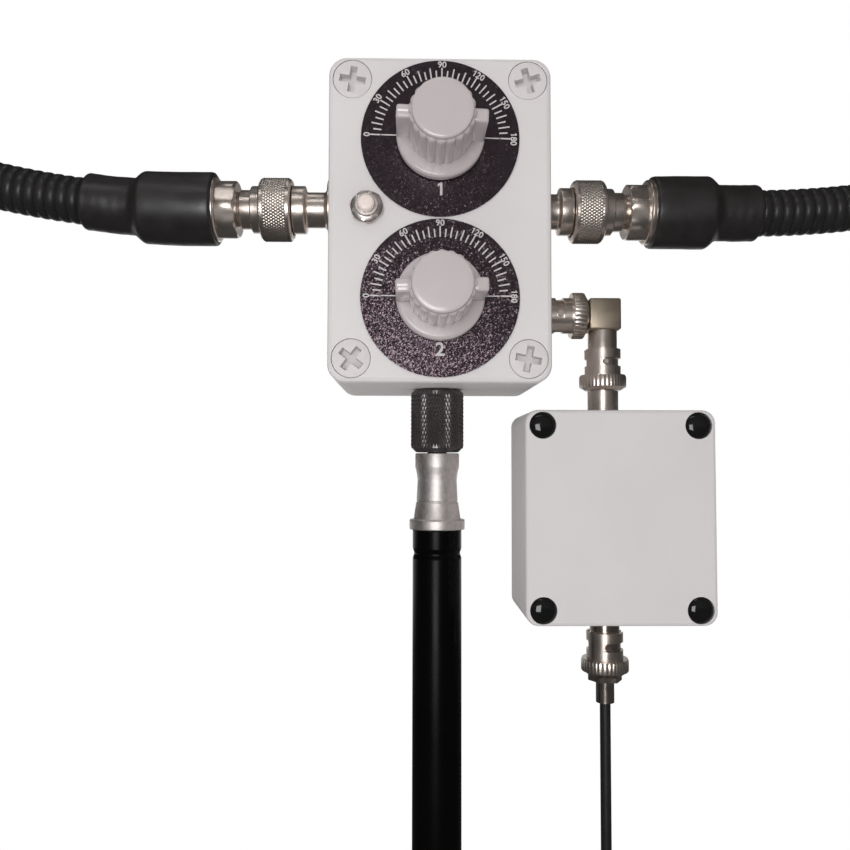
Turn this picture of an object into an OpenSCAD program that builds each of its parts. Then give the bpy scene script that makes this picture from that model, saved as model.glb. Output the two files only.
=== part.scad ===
// Hand tuned radio loop antenna on a mast: a tuner box with two dials,
// a loop of corrugated cable, a choke box hung on a bayonet elbow and a feed lead.
// The foot of the mast is the origin, Z is up and the dials face -Y.

/* [Tuner box] */
// Width across the face
box_w = 68; // [56:1:100]
// Height of the face
box_h = 100; // [90:1:140]
// Depth from face to back
box_d = 50; // [44:1:70]
// Depth of the lid, with its skirt
lid_d = 15; // [12:0.5:20]
// Moulded wall thickness
box_wall = 2.5; // [2:0.1:3.5]
// Corner radius of the face
box_round = 5.5; // [4:0.5:8]
// Bevel round the lid's front edge
lid_bevel = 1.4; // [0.8:0.1:2]
// Seam that the seal leaves between lid and case
lid_seam = 0.3; // [0.2:0.05:0.6]
// Width of the seal
seal_w = 1.2; // [0.8:0.1:1.4]
// Depth of the seal groove in the case
seal_groove = 1; // [0.6:0.1:1.6]
// Head diameter of a lid screw
lid_screw_head = 11.8; // [9:0.1:12.4]
// Length of the cross in a lid screw's head
cross_len = 8; // [6:0.1:9]
// Width of the cross
cross_w = 2.2; // [1.4:0.1:2.6]
// Depth of the cross
cross_deep = 1.5; // [1:0.1:2]
// How far a lid screw goes past the seam
screw_reach = 16; // [10:0.5:20]
// Head thickness of a lid screw
lid_screw_cap = 3.6; // [2.5:0.1:5]
// Shank diameter of a lid screw
lid_screw_shank = 5; // [4:0.1:5.6]
// Screw centres from the box's side edges
lid_screw_in_x = 7.2; // [6.8:0.1:9]
// Screw centres from the box's top and bottom edges
lid_screw_in_z = 7.2; // [6.8:0.1:9]

/* [Dials and knobs] */
// Gap between the two dial plates
dial_gap = 0.6; // [0.2:0.1:8.8]
// Thickness of a dial plate
dial_t = 0.6; // [0.4:0.1:1.2]
// Dial centres from the middle of each half of the lid, towards the box's centre
dial_shift = 0.6; // [0:0.1:0.7]
// Diameter of the knob's skirt
skirt_dia = 26.6; // [24:0.1:30]
// Thickness of the knob's skirt
skirt_t = 3; // [2:0.1:4]
// Air under the skirt
knob_lift = 0.9; // [0.5:0.1:2]
// Diameter of the fluted grip
grip_dia = 19.2; // [17:0.1:21]
// Number of flutes on the grip
flutes = 20; // [12:1:24]
// Radius of one flute
flute_r = 1.15; // [0.8:0.05:1.3]
// Diameter of the plain cap
cap_dia = 18.8; // [17:0.1:19.1]
// Height of the cap above the grip
cap_h = 1.4; // [1:0.1:3]
// Height of the whole knob
knob_h = 21.4; // [18:0.1:24]
// Width of the pointer bar
bar_w = 4; // [3:0.1:5]
// Height of the pointer bar from the skirt's underside
bar_h = 17.6; // [14:0.1:19]
// Diameter of the knob's set screw
set_dia = 3; // [2.5:0.1:4]

/* [Capacitors] */
// Diameter of the tuning shaft
shaft_dia = 6; // [5:0.1:6.4]
// Diameter of the threaded bush
bush_dia = 9.4; // [8.5:0.1:10]
// Width of the frame's end plates
frame_w = 30; // [28:0.5:33]
// Height of the frame's end plates
frame_h = 34; // [32:0.5:40]
// Thickness of the end plates
frame_t = 1.5; // [1:0.1:2]
// Diameter of the frame's pillars
pillar_dia = 4; // [3:0.1:4.6]
// Radius of the rotor plates
rotor_r = 12.5; // [10:0.1:12.8]
// Thickness of one plate
plate_t = 0.8; // [0.5:0.1:1]
// Step from one stator plate to the next
plate_step = 4; // [3:0.1:4.2]
// Number of stator plates
stators = 5; // [3:1:5]
// Diameter of the rods that carry the stator
rod_dia = 3; // [2:0.1:3.4]

/* [Push button] */
// Button centre to the left of the box's centre
button_left = 22.2; // [21.8:0.1:24]
// Button centre above the box's centre
button_up = 3; // [0:0.1:5]
// Diameter of the button's cap
button_dia = 5; // [4:0.1:5.4]
// Height of the cap above the lid
button_proud = 6; // [5:0.1:8]
// Travel of the button
button_travel = 1.6; // [1:0.1:2]
// Diameter of the switch's threaded bush
switch_bush = 6.7; // [6.2:0.1:7]
// Height of the bush above the lid
switch_bush_proud = 3.4; // [2.5:0.1:4]
// Width across flats of the switch nut
switch_nut_af = 9; // [8:0.1:10]
// Thickness of the switch nut
switch_nut_t = 1.9; // [1.5:0.1:2.4]
// Side of the switch's square body
switch_body_w = 9.6; // [8:0.1:10]
// Depth of the switch's body
switch_body_d = 11.5; // [8:0.1:12]

/* [Loop plugs] */
// Height of the plugs' axis above the box's centre
plug_up = 9.8; // [6:0.1:12]
// Reach of the left jack from the wall to the nut
jack_reach_left = 14; // [11:0.1:16]
// Reach of the right jack from the wall to the nut
jack_reach_right = 10.8; // [9.5:0.1:14]
// Diameter of the jack's thread
jack_dia = 15.6; // [14:0.1:16]
// Length of thread inside the nut
jack_grip = 7; // [5:0.1:8]
// Shoulder left bare in front of the nut
jack_shoulder = 4.5; // [3:0.1:6]
// Diameter of the neck behind the shoulder
jack_neck = 11.6; // [10:0.1:12.5]
// Diameter of the jack's wall flange
jack_flange = 20; // [17:0.1:22]
// Thickness of the jack's wall flange
jack_flange_t = 2; // [1:0.1:2.6]
// Diameter of the thread that goes through the wall
jack_tail = 11; // [9:0.1:12]
// Diameter of the coupling nut over its knurl
nut_dia = 20.8; // [19:0.1:22]
// Length of the coupling nut's knurl
nut_len = 10.4; // [9:0.1:12]
// Length of the coupling nut's back ring
nut_ring = 3; // [2:0.1:4]
// Diameter of the coupling nut's back ring
nut_ring_dia = 15.4; // [14.6:0.1:17]
// Diameter of the plug's neck
plug_neck = 12.8; // [11:0.1:13]
// Length of neck behind the nut
plug_neck_len = 4.6; // [3:0.1:6]
// Width across flats of the clamp octagon
clamp_af = 18; // [16:0.1:19]
// Length of the clamp octagon
clamp_len = 8.2; // [6:0.1:10]
// Diameter of the clamp barrel
barrel_dia = 21.4; // [20:0.1:22]
// Length of the clamp barrel
barrel_len = 18; // [14:0.1:22]
// Wall of the shrunk sleeve
shrink_wall = 1.1; // [0.8:0.1:1.6]
// Length of the left sleeve's wide part
left_wide = 23.4; // [21:0.1:26]
// Length of the right sleeve's wide part
right_wide = 22; // [21:0.1:26]
// Length of the left sleeve's narrow part
left_narrow = 15; // [12:0.1:20]
// Length of the right sleeve's narrow part
right_narrow = 12.3; // [10:0.1:20]

/* [Loop cable] */
// Diameter over the ribs
cable_dia = 15.4; // [13:0.1:15.8]
// Depth of the valleys
rib_depth = 0.8; // [0.4:0.1:1]
// Diameter of the copper tube under the jacket
copper_dia = 11.6; // [10:0.1:12]
// Wall of the copper tube
copper_wall = 0.5; // [0.3:0.05:0.8]
// Room between copper and jacket
copper_room = 0.25; // [0.2:0.05:0.4]
// Coarse ribs along the jacket
ribs = 56; // [56:1:80]
// Radius of the loop's lower corners
low_r = 305; // [250:1:360]
// Where the left bend starts, from the mast's axis
bend_left = 78.5; // [74:0.5:90]
// Where the right bend starts, from the mast's axis
bend_right = 103; // [90:0.5:130]
// Outside diameter of the coupling ring
core_od = 21; // [19:0.1:22]
// Hole of the coupling ring
core_id = 13.2; // [12.6:0.1:14]
// Thickness of the coupling ring
core_t = 5; // [4:0.1:5.4]
// Wire of the coupling winding
core_wire = 1; // [0.6:0.1:1.2]
// Turns of the coupling winding
core_turns = 5; // [3:1:6]
// Angle of the ring that the coupling winding covers
core_spread = 150; // [120:5:180]
// Width of a copper strap
strap_w = 5; // [3:0.1:5.4]
// Thickness of a copper strap
strap_t = 1; // [0.5:0.1:1.2]

/* [Bayonet fittings] */
// Diameter of a jack's barrel
bnc_dia = 9.5; // [9:0.1:9.7]
// Bore of a jack's barrel
bnc_bore = 8.1; // [7.8:0.1:8.4]
// Radius at the tip of a lug
lug_reach = 5.6; // [5.3:0.1:5.8]
// Diameter of a lug
lug_dia = 2; // [1.6:0.1:2.2]
// Lugs behind the jack's mouth
lug_back = 4.2; // [3.5:0.1:5]
// Outside diameter of a bayonet sleeve
sleeve_dia = 11.8; // [11.6:0.1:12.4]
// Length of the sleeve in front of its ring
sleeve_len = 8.6; // [7:0.1:8.8]
// Diameter of the sleeve's grip ring
ring_dia = 14.8; // [13.6:0.1:15.4]
// Length of the sleeve's grip ring
ring_len = 5; // [4.6:0.1:5.4]
// Wall that keeps the sleeve on its plug
sleeve_back = 1.5; // [1:0.1:2]
// Diameter of a plug's neck
bnc_neck = 7; // [6:0.1:7.2]
// Height of the small axis below the tuner's centre
bnc_down = 25.2; // [22:0.1:28]
// Bare length of the panel jack, from wall to mouth
panel_reach = 10.4; // [10.3:0.1:12]
// Side of the elbow's block
elbow_side = 10.4; // [9.8:0.1:10.8]
// Bare barrel below the elbow's block
elbow_drop = 14.7; // [13:0.1:16]

/* [Choke box] */
// Width of the choke box
choke_w = 58; // [52:1:70]
// Height of the choke box
choke_h = 65; // [60:1:80]
// Depth of the choke box
choke_d = 35; // [33:1:42]
// Depth of the choke box's lid
choke_lid_d = 10; // [8:0.5:12]
// Wall of the choke box
choke_wall = 2.2; // [1.8:0.1:2.6]
// Corner radius of the choke box
choke_round = 4; // [3:0.5:6]
// Face of the choke box in front of the mast's axis
choke_front = 23.5; // [22:0.1:24]
// Cover plug centres from the side edges
cover_in_x = 5.3; // [5:0.1:7]
// Cover plug centres from the top and bottom edges
cover_in_z = 4.7; // [4.6:0.1:7]
// Diameter of a cover plug
cover_dia = 8; // [7:0.1:8.2]
// Neck between the top plug's ring and the box
top_neck_len = 7.6; // [7:0.1:9]
// Diameter of that neck
top_neck = 10; // [9:0.1:11]
// Outside diameter of the choke ring
choke_od = 29; // [26:0.5:30]
// Hole of the choke ring
choke_id = 19; // [18:0.5:20]
// Thickness of the choke ring
choke_t = 7.5; // [6:0.5:8]
// Thin coax of the choke winding
choke_wire = 2; // [1.5:0.1:2.4]
// Turns of the choke winding
choke_turns = 6; // [4:1:7]
// Angle of the ring that the choke winding covers
choke_spread = 250; // [200:5:270]
// Bare length of the lower jack, from wall to mouth
lower_reach = 14.6; // [14:0.1:16]

/* [Feed lead] */
// Diameter of the lead
lead_dia = 3.5; // [3:0.1:3.6]
// Diameter of the crimped ferrule
ferrule_dia = 5.9; // [5.4:0.1:6.4]
// Length of the crimped ferrule
ferrule_len = 7.1; // [6:0.1:9]
// Diameter of the gland behind the sleeve
gland_dia = 11; // [9:0.1:11.4]
// Length of the gland
gland_len = 1.8; // [1.4:0.1:3]
// Turns in each of the coil's four layers
layer_turns = 2.5; // [1.5:1:3.5]
// Radius at the middle of the coil's turns
coil_mid = 21; // [20:0.5:24]
// Step from one turn of the coil to the next, and from layer to layer
coil_step = 4.3; // [4.2:0.1:4.6]
// Height of the coil's centre above the mast's foot
coil_up = 140; // [130:1:145]
// Height where the lead starts to bend
lead_low = 197; // [190:1:210]
// Radius of the two bends into the coil
lead_bend = 20; // [18:0.5:22]
// Straight tail beyond the coil
tail_len = 30; // [24:1:40]
// Width of the strap round the coil
tie_w = 12; // [8:0.5:16]
// Thickness of the strap
tie_t = 1; // [0.6:0.1:1.5]

/* [Mast] */
// Diameter of the mast tube
mast_dia = 16; // [15:0.1:17]
// Wall of the mast tube
mast_wall = 1; // [0.8:0.1:1.5]
// Length of the mast tube
mast_len = 302; // [290:1:320]
// Rolled groove below the tube's top
groove_down = 7.7; // [5:0.1:12]
// Diameter of the adapter's flange
flange_dia = 18.1; // [17.2:0.1:19]
// Thickness of the adapter's flange
flange_t = 3.2; // [2:0.1:4]
// Height of the adapter
adapter_h = 24.8; // [22:0.1:28]
// Diameter of the adapter's top
adapter_top = 14.4; // [13.6:0.1:15]
// Diameter of the adapter's waist
adapter_waist = 12.8; // [11:0.1:13.4]
// Height of the adapter's round top
crown = 4.4; // [3:0.1:6]
// Length of the spigot in the tube
spigot_len = 18; // [12:0.5:24]
// How far the tube is rolled down on the spigot
grip = 0.1; // [0.05:0.01:0.2]
// Diameter of the threaded insert in the box's floor
insert_out = 10; // [9:0.5:12]
// Diameter of the insert's flange
insert_flange = 20; // [16:0.5:22]
// Metal over the insert's thread
insert_cap = 1.05; // [0.8:0.05:1.5]
// Room from the insert to the lower capacitor
insert_room = 0.55; // [0.4:0.05:1]
// Diameter of the mast's screw
stud_dia = 6.3; // [5.8:0.1:6.8]
// Diameter of the locking collar
collar_dia = 17.4; // [16:0.1:18]
// Height of the locking collar
collar_h = 20.4; // [18:0.1:23]

/* [Hidden] */
$fn = 64;
fit = 0.1;
slip = 0.05;
run = 0.3;
tuner_z = mast_len + adapter_h + run + collar_h + run + box_h / 2;
face_y = -box_d / 2;
seam_y = face_y + lid_d;
lid_in_y = face_y + box_wall;
screw_x = box_w / 2 - lid_screw_in_x;
screw_z = box_h / 2 - lid_screw_in_z;
well_y = face_y + lid_screw_cap + 0.1;
screw_tip_y = seam_y + screw_reach;
dial_off = box_h / 4 - dial_shift;
dial_dia = 2 * dial_off - dial_gap;
plate_y = face_y - dial_t;
knob_y = plate_y - knob_lift;
bush_y = plate_y - 2.8;
cap_nut_t = 2;
cap_nut_af = 12;
nut_room = 1.37;
frame_y = lid_in_y + 0.05;
stack_y = frame_y + frame_t + 4;
back_y = stack_y + stators * plate_step;
shaft_y = knob_y - 13;
pillar_x = frame_w / 2 - 4;
pillar_z = frame_h / 2 - 2.4;
rod_x = rotor_r - 1;
rod_z = rotor_r - 0.2;
plug_z = tuner_z + plug_up;
side_x = box_w / 2;
nut_bore = jack_dia + 2 * run;
nut_hole = plug_neck + 2 * run;
collar_keep = 1.5;
plug_step = nut_len + nut_ring + plug_neck_len;
barrel_bore = cable_dia + 1.9;
shrink_in = barrel_dia + 2 * fit;
narrow_in = cable_dia + 1;
half_run = (bend_left + bend_right) / 2;
top_r = low_r + half_run;
loop_cx = (bend_right - bend_left) / 2;
cable_from = side_x + jack_reach_left + plug_step + clamp_len + 4;
low_len = PI / 2 * low_r;
top_len = PI * top_r;
cable_to = side_x + jack_reach_right + plug_step + clamp_len + 4;
lead_in = bend_right - cable_to;
cable_len = 2 * low_len + top_len + lead_in;
valley_r = cable_dia / 2 - rib_depth;
bore_r = copper_dia / 2 + copper_room;
bnc_z = tuner_z - bnc_down;
bnc_clear = bnc_dia + 0.4;
neck_hole = bnc_neck + 2 * run;
shoulder_dia = bnc_clear - 2 * run;
insert_dia = bnc_bore - 2 * run;
lug_slot = lug_dia + 2 * run;
panel_mouth = side_x + panel_reach;
elbow_x = panel_mouth + ring_len + run + elbow_side / 2;
elbow_low = bnc_z - elbow_side / 2;
elbow_mouth = elbow_low - elbow_drop;
choke_top = elbow_mouth - ring_len - run - top_neck_len;
choke_z = choke_top - choke_h / 2;
choke_low = choke_top - choke_h;
choke_y = -choke_front + choke_d / 2;
choke_seam = -choke_front + choke_lid_d;
cover_x = choke_w / 2 - cover_in_x;
cover_z = choke_h / 2 - cover_in_z;
feed_mouth = choke_low - lower_reach;
gland_top = feed_mouth - ring_len - run;
ferrule_top = gland_top - gland_len;
ferrule_low = ferrule_top - ferrule_len;
lead_end = lead_dia;
tie_room = 0.6;
coil_in = coil_mid - layer_turns / 2 * coil_step;
coil_out = coil_mid + layer_turns / 2 * coil_step;
coil_x = elbow_x - coil_out;
tail_y = 3 * coil_step;
tail_low = coil_up - tail_len;
box_low = tuner_z - box_h / 2;
adapter_z = mast_len + adapter_h;
collar_z = adapter_z + run;
insert_h = box_h / 2 - dial_off - frame_h / 2 - insert_room;
stud_top = box_low + insert_h - insert_cap - 1;

echo(loop_cable_length = cable_len);

function tube_faces(n, sides) = concat(
  [for (i = [0 : n - 2]) for (j = [0 : sides - 1])
    [i * sides + j, i * sides + (j + 1) % sides, (i + 1) * sides + (j + 1) % sides]],
  [for (i = [0 : n - 2]) for (j = [0 : sides - 1])
    [i * sides + j, (i + 1) * sides + (j + 1) % sides, (i + 1) * sides + j]],
  [[for (j = [sides - 1 : -1 : 0]) j]],
  [[for (j = [0 : sides - 1]) (n - 1) * sides + j]]);

function unit(v) = v / norm(v);

// Least room between the turns of a wound tube, measured between points that are apart by half a turn or more
function self_gap(points, dia, half_turn) = min([for (i = [0 : len(points) - 1 - half_turn])
  min([for (j = [i + half_turn : len(points) - 1]) norm(points[i] - points[j])])]) - dia;

// A round tube along a list of points, with its own side direction at each point
module sweep(points, sides_at, r, sides) {
  n = len(points);
  rings = [for (i = [0 : n - 1])
    let (ahead = unit(points[min(i + 1, n - 1)] - points[max(i - 1, 0)]))
    let (side = unit(sides_at[i] - (sides_at[i] * ahead) * ahead))
    let (up = cross(ahead, side))
    for (j = [0 : sides - 1]) points[i] + r * (cos(360 * j / sides) * side + sin(360 * j / sides) * up)];
  polyhedron(rings, [for (f = tube_faces(n, sides)) [for (k = [len(f) - 1 : -1 : 0]) f[k]]], convexity = 10);
}

// A box with four round corners, standing on z = 0
module block(w, h, t, r) {
  translate([r - w / 2, -h / 2, 0]) cube([w - 2 * r, h, t]);
  translate([-w / 2, r - h / 2, 0]) cube([w, h - 2 * r, t]);
  for (x = [-1, 1]) for (y = [-1, 1])
    translate([x * (w / 2 - r), y * (h / 2 - r), 0]) cylinder(r = r, h = t);
}

// The same box lying with its thickness from y0 back to y1
module slab(w, h, y0, y1, r) {
  translate([0, y1, 0]) rotate([90, 0, 0]) block(w, h, y1 - y0, r);
}

// A cylinder along Y from y0 to y1
module bar_y(d, y0, y1) {
  translate([0, y1, 0]) rotate([90, 0, 0]) cylinder(d = d, h = y1 - y0);
}

// A bevelled front edge for a lid
module bevel_front(w, h, y, b, r) {
  hull() {
    for (x = [-1, 1]) for (z = [-1, 1]) translate([x * (w / 2 - r), y + b, z * (h / 2 - r)])
      rotate([90, 0, 0]) cylinder(r = r, h = 0.01, $fn = 32);
    for (x = [-1, 1]) for (z = [-1, 1]) translate([x * (w / 2 - r), y + 0.35 * b, z * (h / 2 - r)])
      rotate([90, 0, 0]) cylinder(r = r - 0.3 * b, h = 0.01, $fn = 32);
    for (x = [-1, 1]) for (z = [-1, 1]) translate([x * (w / 2 - r), y + 0.01, z * (h / 2 - r)])
      rotate([90, 0, 0]) cylinder(r = r - b, h = 0.01, $fn = 32);
  }
}

module octagon(af, t) {
  intersection_for(a = [0, 45, 90, 135]) rotate([0, 0, a]) translate([-af, -af / 2, 0]) cube([2 * af, af, t]);
}

module hexagon(af, t) {
  intersection_for(a = [0, 60, 120]) rotate([0, 0, a]) translate([-af, -af / 2, 0]) cube([2 * af, af, t]);
}

module at_screws() {
  for (x = [-1, 1]) for (z = [-1, 1]) translate([x * screw_x, 0, z * screw_z]) children();
}

module at_tuner() {
  translate([0, 0, tuner_z]) children();
}

module tuner_case() {
  color("gainsboro") at_tuner() difference() {
    union() {
      difference() {
        slab(box_w, box_h, seam_y, box_d / 2, box_round);
        slab(box_w - 2 * box_wall, box_h - 2 * box_wall, seam_y - 1, box_d / 2 - box_wall, box_round - box_wall);
      }
      at_screws() bar_y(11, seam_y, box_d / 2 - 1);
    }
    at_screws() bar_y(lid_screw_shank + 2 * fit, seam_y - 1, screw_tip_y + 1);
    difference() {
      slab(box_w - 1.3, box_h - 1.3, seam_y - 1, seam_y + seal_groove, box_round - 0.65);
      slab(box_w - 1.3 - 2 * seal_w - 4 * slip, box_h - 1.3 - 2 * seal_w - 4 * slip, seam_y - 2,
        seam_y + seal_groove + 1, box_round - 0.65 - seal_w);
    }
    for (s = [-1, 1]) translate([s * side_x, 0, plug_up]) rotate([0, 90, 0])
      cylinder(d = jack_tail + 2 * fit, h = 4 * box_wall, center = true);
    translate([side_x, 0, -bnc_down]) rotate([0, 90, 0])
      cylinder(d = bnc_dia + 2 * fit, h = 4 * box_wall, center = true);
    translate([0, 0, -box_h / 2]) cylinder(d = insert_out + 2 * fit, h = 4 * box_wall, center = true);
  }
}

module tuner_lid() {
  color("gainsboro") at_tuner() difference() {
    union() {
      difference() {
        union() {
          slab(box_w, box_h, face_y + lid_bevel, seam_y - lid_seam, box_round);
          bevel_front(box_w, box_h, face_y, lid_bevel, box_round);
        }
        slab(box_w - 2 * box_wall, box_h - 2 * box_wall, lid_in_y, seam_y, box_round - box_wall);
      }
      at_screws() bar_y(11, well_y + 0.2, seam_y - lid_seam);
    }
    at_screws() bar_y(lid_screw_head + 2 * fit, face_y - 1, well_y);
    at_screws() bar_y(lid_screw_shank + 4 * fit, face_y, seam_y + 1);
    for (s = [-1, 1]) translate([0, 0, s * dial_off]) bar_y(bush_dia + 2 * fit, face_y - 1, lid_in_y + 1);
    translate([-button_left, 0, button_up]) bar_y(switch_bush + 2 * fit, face_y - 1, lid_in_y + 1);
  }
}

module lid_gasket() {
  color("dimgray") at_tuner() difference() {
    slab(box_w - 1.3 - 2 * slip, box_h - 1.3 - 2 * slip, seam_y - lid_seam + slip,
      seam_y + seal_groove - slip, box_round - 0.65 - slip);
    slab(box_w - 1.3 - 2 * seal_w - 2 * slip, box_h - 1.3 - 2 * seal_w - 2 * slip, seam_y - 1,
      seam_y + seal_groove + 1, box_round - 0.65 - seal_w - slip);
  }
}

module lid_screws() {
  turns = [38, 11, 8, -17];
  color("lightgray") at_tuner() for (i = [0 : 3])
    translate([(i % 2 * 2 - 1) * screw_x, 0, (floor(i / 2) * 2 - 1) * screw_z]) difference() {
      union() {
        bar_y(lid_screw_head, face_y + 0.05, well_y);
        bar_y(lid_screw_shank, well_y - 1, screw_tip_y);
      }
      for (a = [0, 90]) translate([0, face_y, 0]) rotate([0, a + turns[i], 0]) cube([cross_len, 2 * cross_deep, cross_w], center = true);
    }
}

module dial_plate(s) {
  color("black") at_tuner() translate([0, 0, s * dial_off]) difference() {
    bar_y(dial_dia, plate_y, face_y - 0.01);
    bar_y(bush_dia + 2 * fit, plate_y - 1, face_y + 1);
  }
}

module dial_plate_a() {
  dial_plate(1);
}

module dial_plate_b() {
  dial_plate(-1);
}

module capacitor_frame(s) {
  color("silver") at_tuner() translate([0, 0, s * dial_off]) difference() {
    union() {
      slab(frame_w, frame_h, frame_y, frame_y + frame_t, 2);
      slab(frame_w, frame_h, back_y, back_y + frame_t, 2);
      bar_y(bush_dia, bush_y, frame_y + frame_t);
      for (x = [-1, 1]) translate([x * pillar_x, 0, pillar_z]) bar_y(pillar_dia, frame_y, back_y + frame_t);
      translate([0, 0, -pillar_z]) bar_y(pillar_dia, frame_y, back_y + frame_t);
    }
    bar_y(shaft_dia + 2 * slip, bush_y - 1, back_y + frame_t + 1);
    for (x = [-1, 1]) translate([x * rod_x, 0, -rod_z]) bar_y(rod_dia + 2 * slip, back_y - 1, back_y + 3);
  }
}

module capacitor_stator(s) {
  color("gainsboro") at_tuner() translate([0, 0, s * dial_off]) {
    for (x = [-1, 1]) translate([x * rod_x, 0, -rod_z])
      bar_y(rod_dia, stack_y - 1, back_y + frame_t);
    difference() {
      for (i = [0 : stators - 1]) translate([-rotor_r - 1, stack_y + i * plate_step, -rotor_r - 1])
        cube([2 * rotor_r + 2, plate_t, rotor_r]);
      bar_y(shaft_dia + 6, stack_y - 1, back_y);
      translate([0, 0, -pillar_z]) bar_y(pillar_dia + 2, stack_y - 1, back_y);
    }
  }
}

module capacitor_rotor(s) {
  color("gainsboro") at_tuner() translate([0, 0, s * dial_off]) {
    bar_y(shaft_dia, shaft_y, back_y + frame_t + 2);
    bar_y(shaft_dia + 2, stack_y - plate_step / 2 - 0.6, back_y - plate_step / 2 + plate_t + 0.6);
    difference() {
      for (i = [0 : stators]) bar_y(2 * rotor_r, stack_y + (i - 0.5) * plate_step,
        stack_y + (i - 0.5) * plate_step + plate_t);
      translate([-rotor_r - 1, stack_y - plate_step, 0])
        cube([2 * rotor_r + 2, (stators + 2) * plate_step, rotor_r + 1]);
    }
  }
}

module capacitor_a_frame() {
  capacitor_frame(1);
}

module capacitor_a_stator() {
  capacitor_stator(1);
}

module capacitor_a_rotor() {
  capacitor_rotor(1);
}

module capacitor_b_frame() {
  capacitor_frame(-1);
}

module capacitor_b_stator() {
  capacitor_stator(-1);
}

module capacitor_b_rotor() {
  capacitor_rotor(-1);
}

module capacitor_nuts() {
  color("silver") at_tuner() for (s = [-1, 1]) translate([0, plate_y - 0.02, s * dial_off]) difference() {
    rotate([90, 0, 0]) hexagon(cap_nut_af, cap_nut_t);
    bar_y(bush_dia + 2 * slip, -cap_nut_t - 1, 1);
  }
}

module knob(s) {
  color("lightgray") at_tuner() translate([0, knob_y, s * dial_off]) rotate([90, 0, 0]) difference() {
    union() {
      cylinder(d = skirt_dia, h = skirt_t - 0.6);
      translate([0, 0, skirt_t - 0.6]) cylinder(d1 = skirt_dia, d2 = skirt_dia - 1.2, h = 0.6);
      intersection() {
        cylinder(d = skirt_dia, h = bar_h);
        translate([-skirt_dia, -bar_w / 2, 0]) cube([2 * skirt_dia, bar_w, bar_h]);
      }
      difference() {
        cylinder(d = grip_dia, h = knob_h - cap_h);
        for (i = [0 : flutes - 1]) rotate([0, 0, (i + 0.5) * 360 / flutes])
          translate([grip_dia / 2 + 0.45, 0, skirt_t]) cylinder(r = flute_r, h = knob_h, $fn = 24);
      }
      translate([0, 0, knob_h - cap_h]) cylinder(d = cap_dia, h = cap_h - 0.8);
      translate([0, 0, knob_h - 0.8]) cylinder(d1 = cap_dia, d2 = cap_dia - 1.6, h = 0.8);
    }
    translate([0, 0, -1]) cylinder(d = cap_nut_af / cos(30) + 2 * nut_room, h = 1 + skirt_t + 0.4);
    translate([0, 0, -1]) cylinder(d = shaft_dia + 2 * slip, h = 15);
    translate([0, 0, skirt_t + 4]) rotate([-90, 0, 0]) cylinder(d = set_dia + 2 * slip, h = skirt_dia);
  }
}

module knob_a() {
  knob(1);
}

module knob_b() {
  knob(-1);
}

module set_screw(s) {
  color("dimgray") at_tuner() translate([0, knob_y - skirt_t - 4, s * dial_off]) difference() {
    translate([0, 0, shaft_dia / 2 + 0.02]) cylinder(d = set_dia, h = 5.4);
    translate([0, 0, shaft_dia / 2 + 5]) cube([0.6, 4, 2], center = true);
  }
}

module knob_a_screw() {
  set_screw(1);
}

module knob_b_screw() {
  set_screw(-1);
}

module at_button() {
  at_tuner() translate([-button_left, 0, button_up]) children();
}

module switch_body() {
  color("silver") at_button() difference() {
    union() {
      translate([-switch_body_w / 2, lid_in_y + 0.05, -switch_body_w / 2])
        cube([switch_body_w, switch_body_d, switch_body_w]);
      bar_y(switch_bush, face_y - switch_bush_proud, lid_in_y + 1);
      for (x = [-1, 1]) translate([x * 2.5, lid_in_y + switch_body_d, 0]) rotate([-90, 0, 0])
        cylinder(d = 1.4, h = 3.5);
    }
    bar_y(button_dia + 2 * slip, face_y - switch_bush_proud - 1, face_y + 3);
  }
}

module switch_nut() {
  color("silver") at_button() translate([0, face_y - 0.02, 0]) difference() {
    rotate([90, 0, 0]) rotate([0, 0, 16]) hexagon(switch_nut_af, switch_nut_t);
    bar_y(switch_bush + 2 * slip, -switch_nut_t - 1, 1);
  }
}

module switch_button() {
  color("ivory") at_button() {
    bar_y(button_dia, face_y - button_proud + 1.4, face_y + 3 - button_travel - 0.2);
    translate([0, face_y - button_proud + 1.4, 0]) rotate([90, 0, 0])
      cylinder(d1 = button_dia, d2 = button_dia - 1, h = 0.8);
    translate([0, face_y - button_proud + 0.6, 0]) rotate([90, 0, 0])
      cylinder(d1 = button_dia - 1, d2 = button_dia - 2.8, h = 0.6);
  }
}

// Stands a part that is drawn along +Z from a side wall of the tuner, left or right
module from_wall(s) {
  translate([s * side_x, 0, plug_z]) rotate([0, s * 90, 0]) children();
}

module n_jack(s, reach) {
  color("silver") from_wall(s) difference() {
    union() {
      translate([0, 0, -box_wall - 5]) cylinder(d = jack_tail, h = box_wall + 6);
      translate([0, 0, 0.02]) cylinder(d = jack_flange, h = jack_flange_t);
      cylinder(d = jack_neck, h = reach);
      translate([0, 0, reach - jack_shoulder]) cylinder(d = jack_dia, h = jack_shoulder + jack_grip);
      translate([0, 0, -box_wall - 9]) cylinder(d = 3, h = 8);
    }
    translate([0, 0, reach + jack_grip - 9]) cylinder(d = 8.4, h = 10);
  }
}

module n_jack_left() {
  n_jack(-1, jack_reach_left);
}

module n_jack_right() {
  n_jack(1, jack_reach_right);
}

module n_jack_nuts() {
  color("silver") for (s = [-1, 1]) from_wall(s) translate([0, 0, -box_wall - 3.02]) difference() {
    hexagon(15, 3);
    translate([0, 0, -1]) cylinder(d = jack_tail + 2 * slip, h = 5);
  }
}

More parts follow.
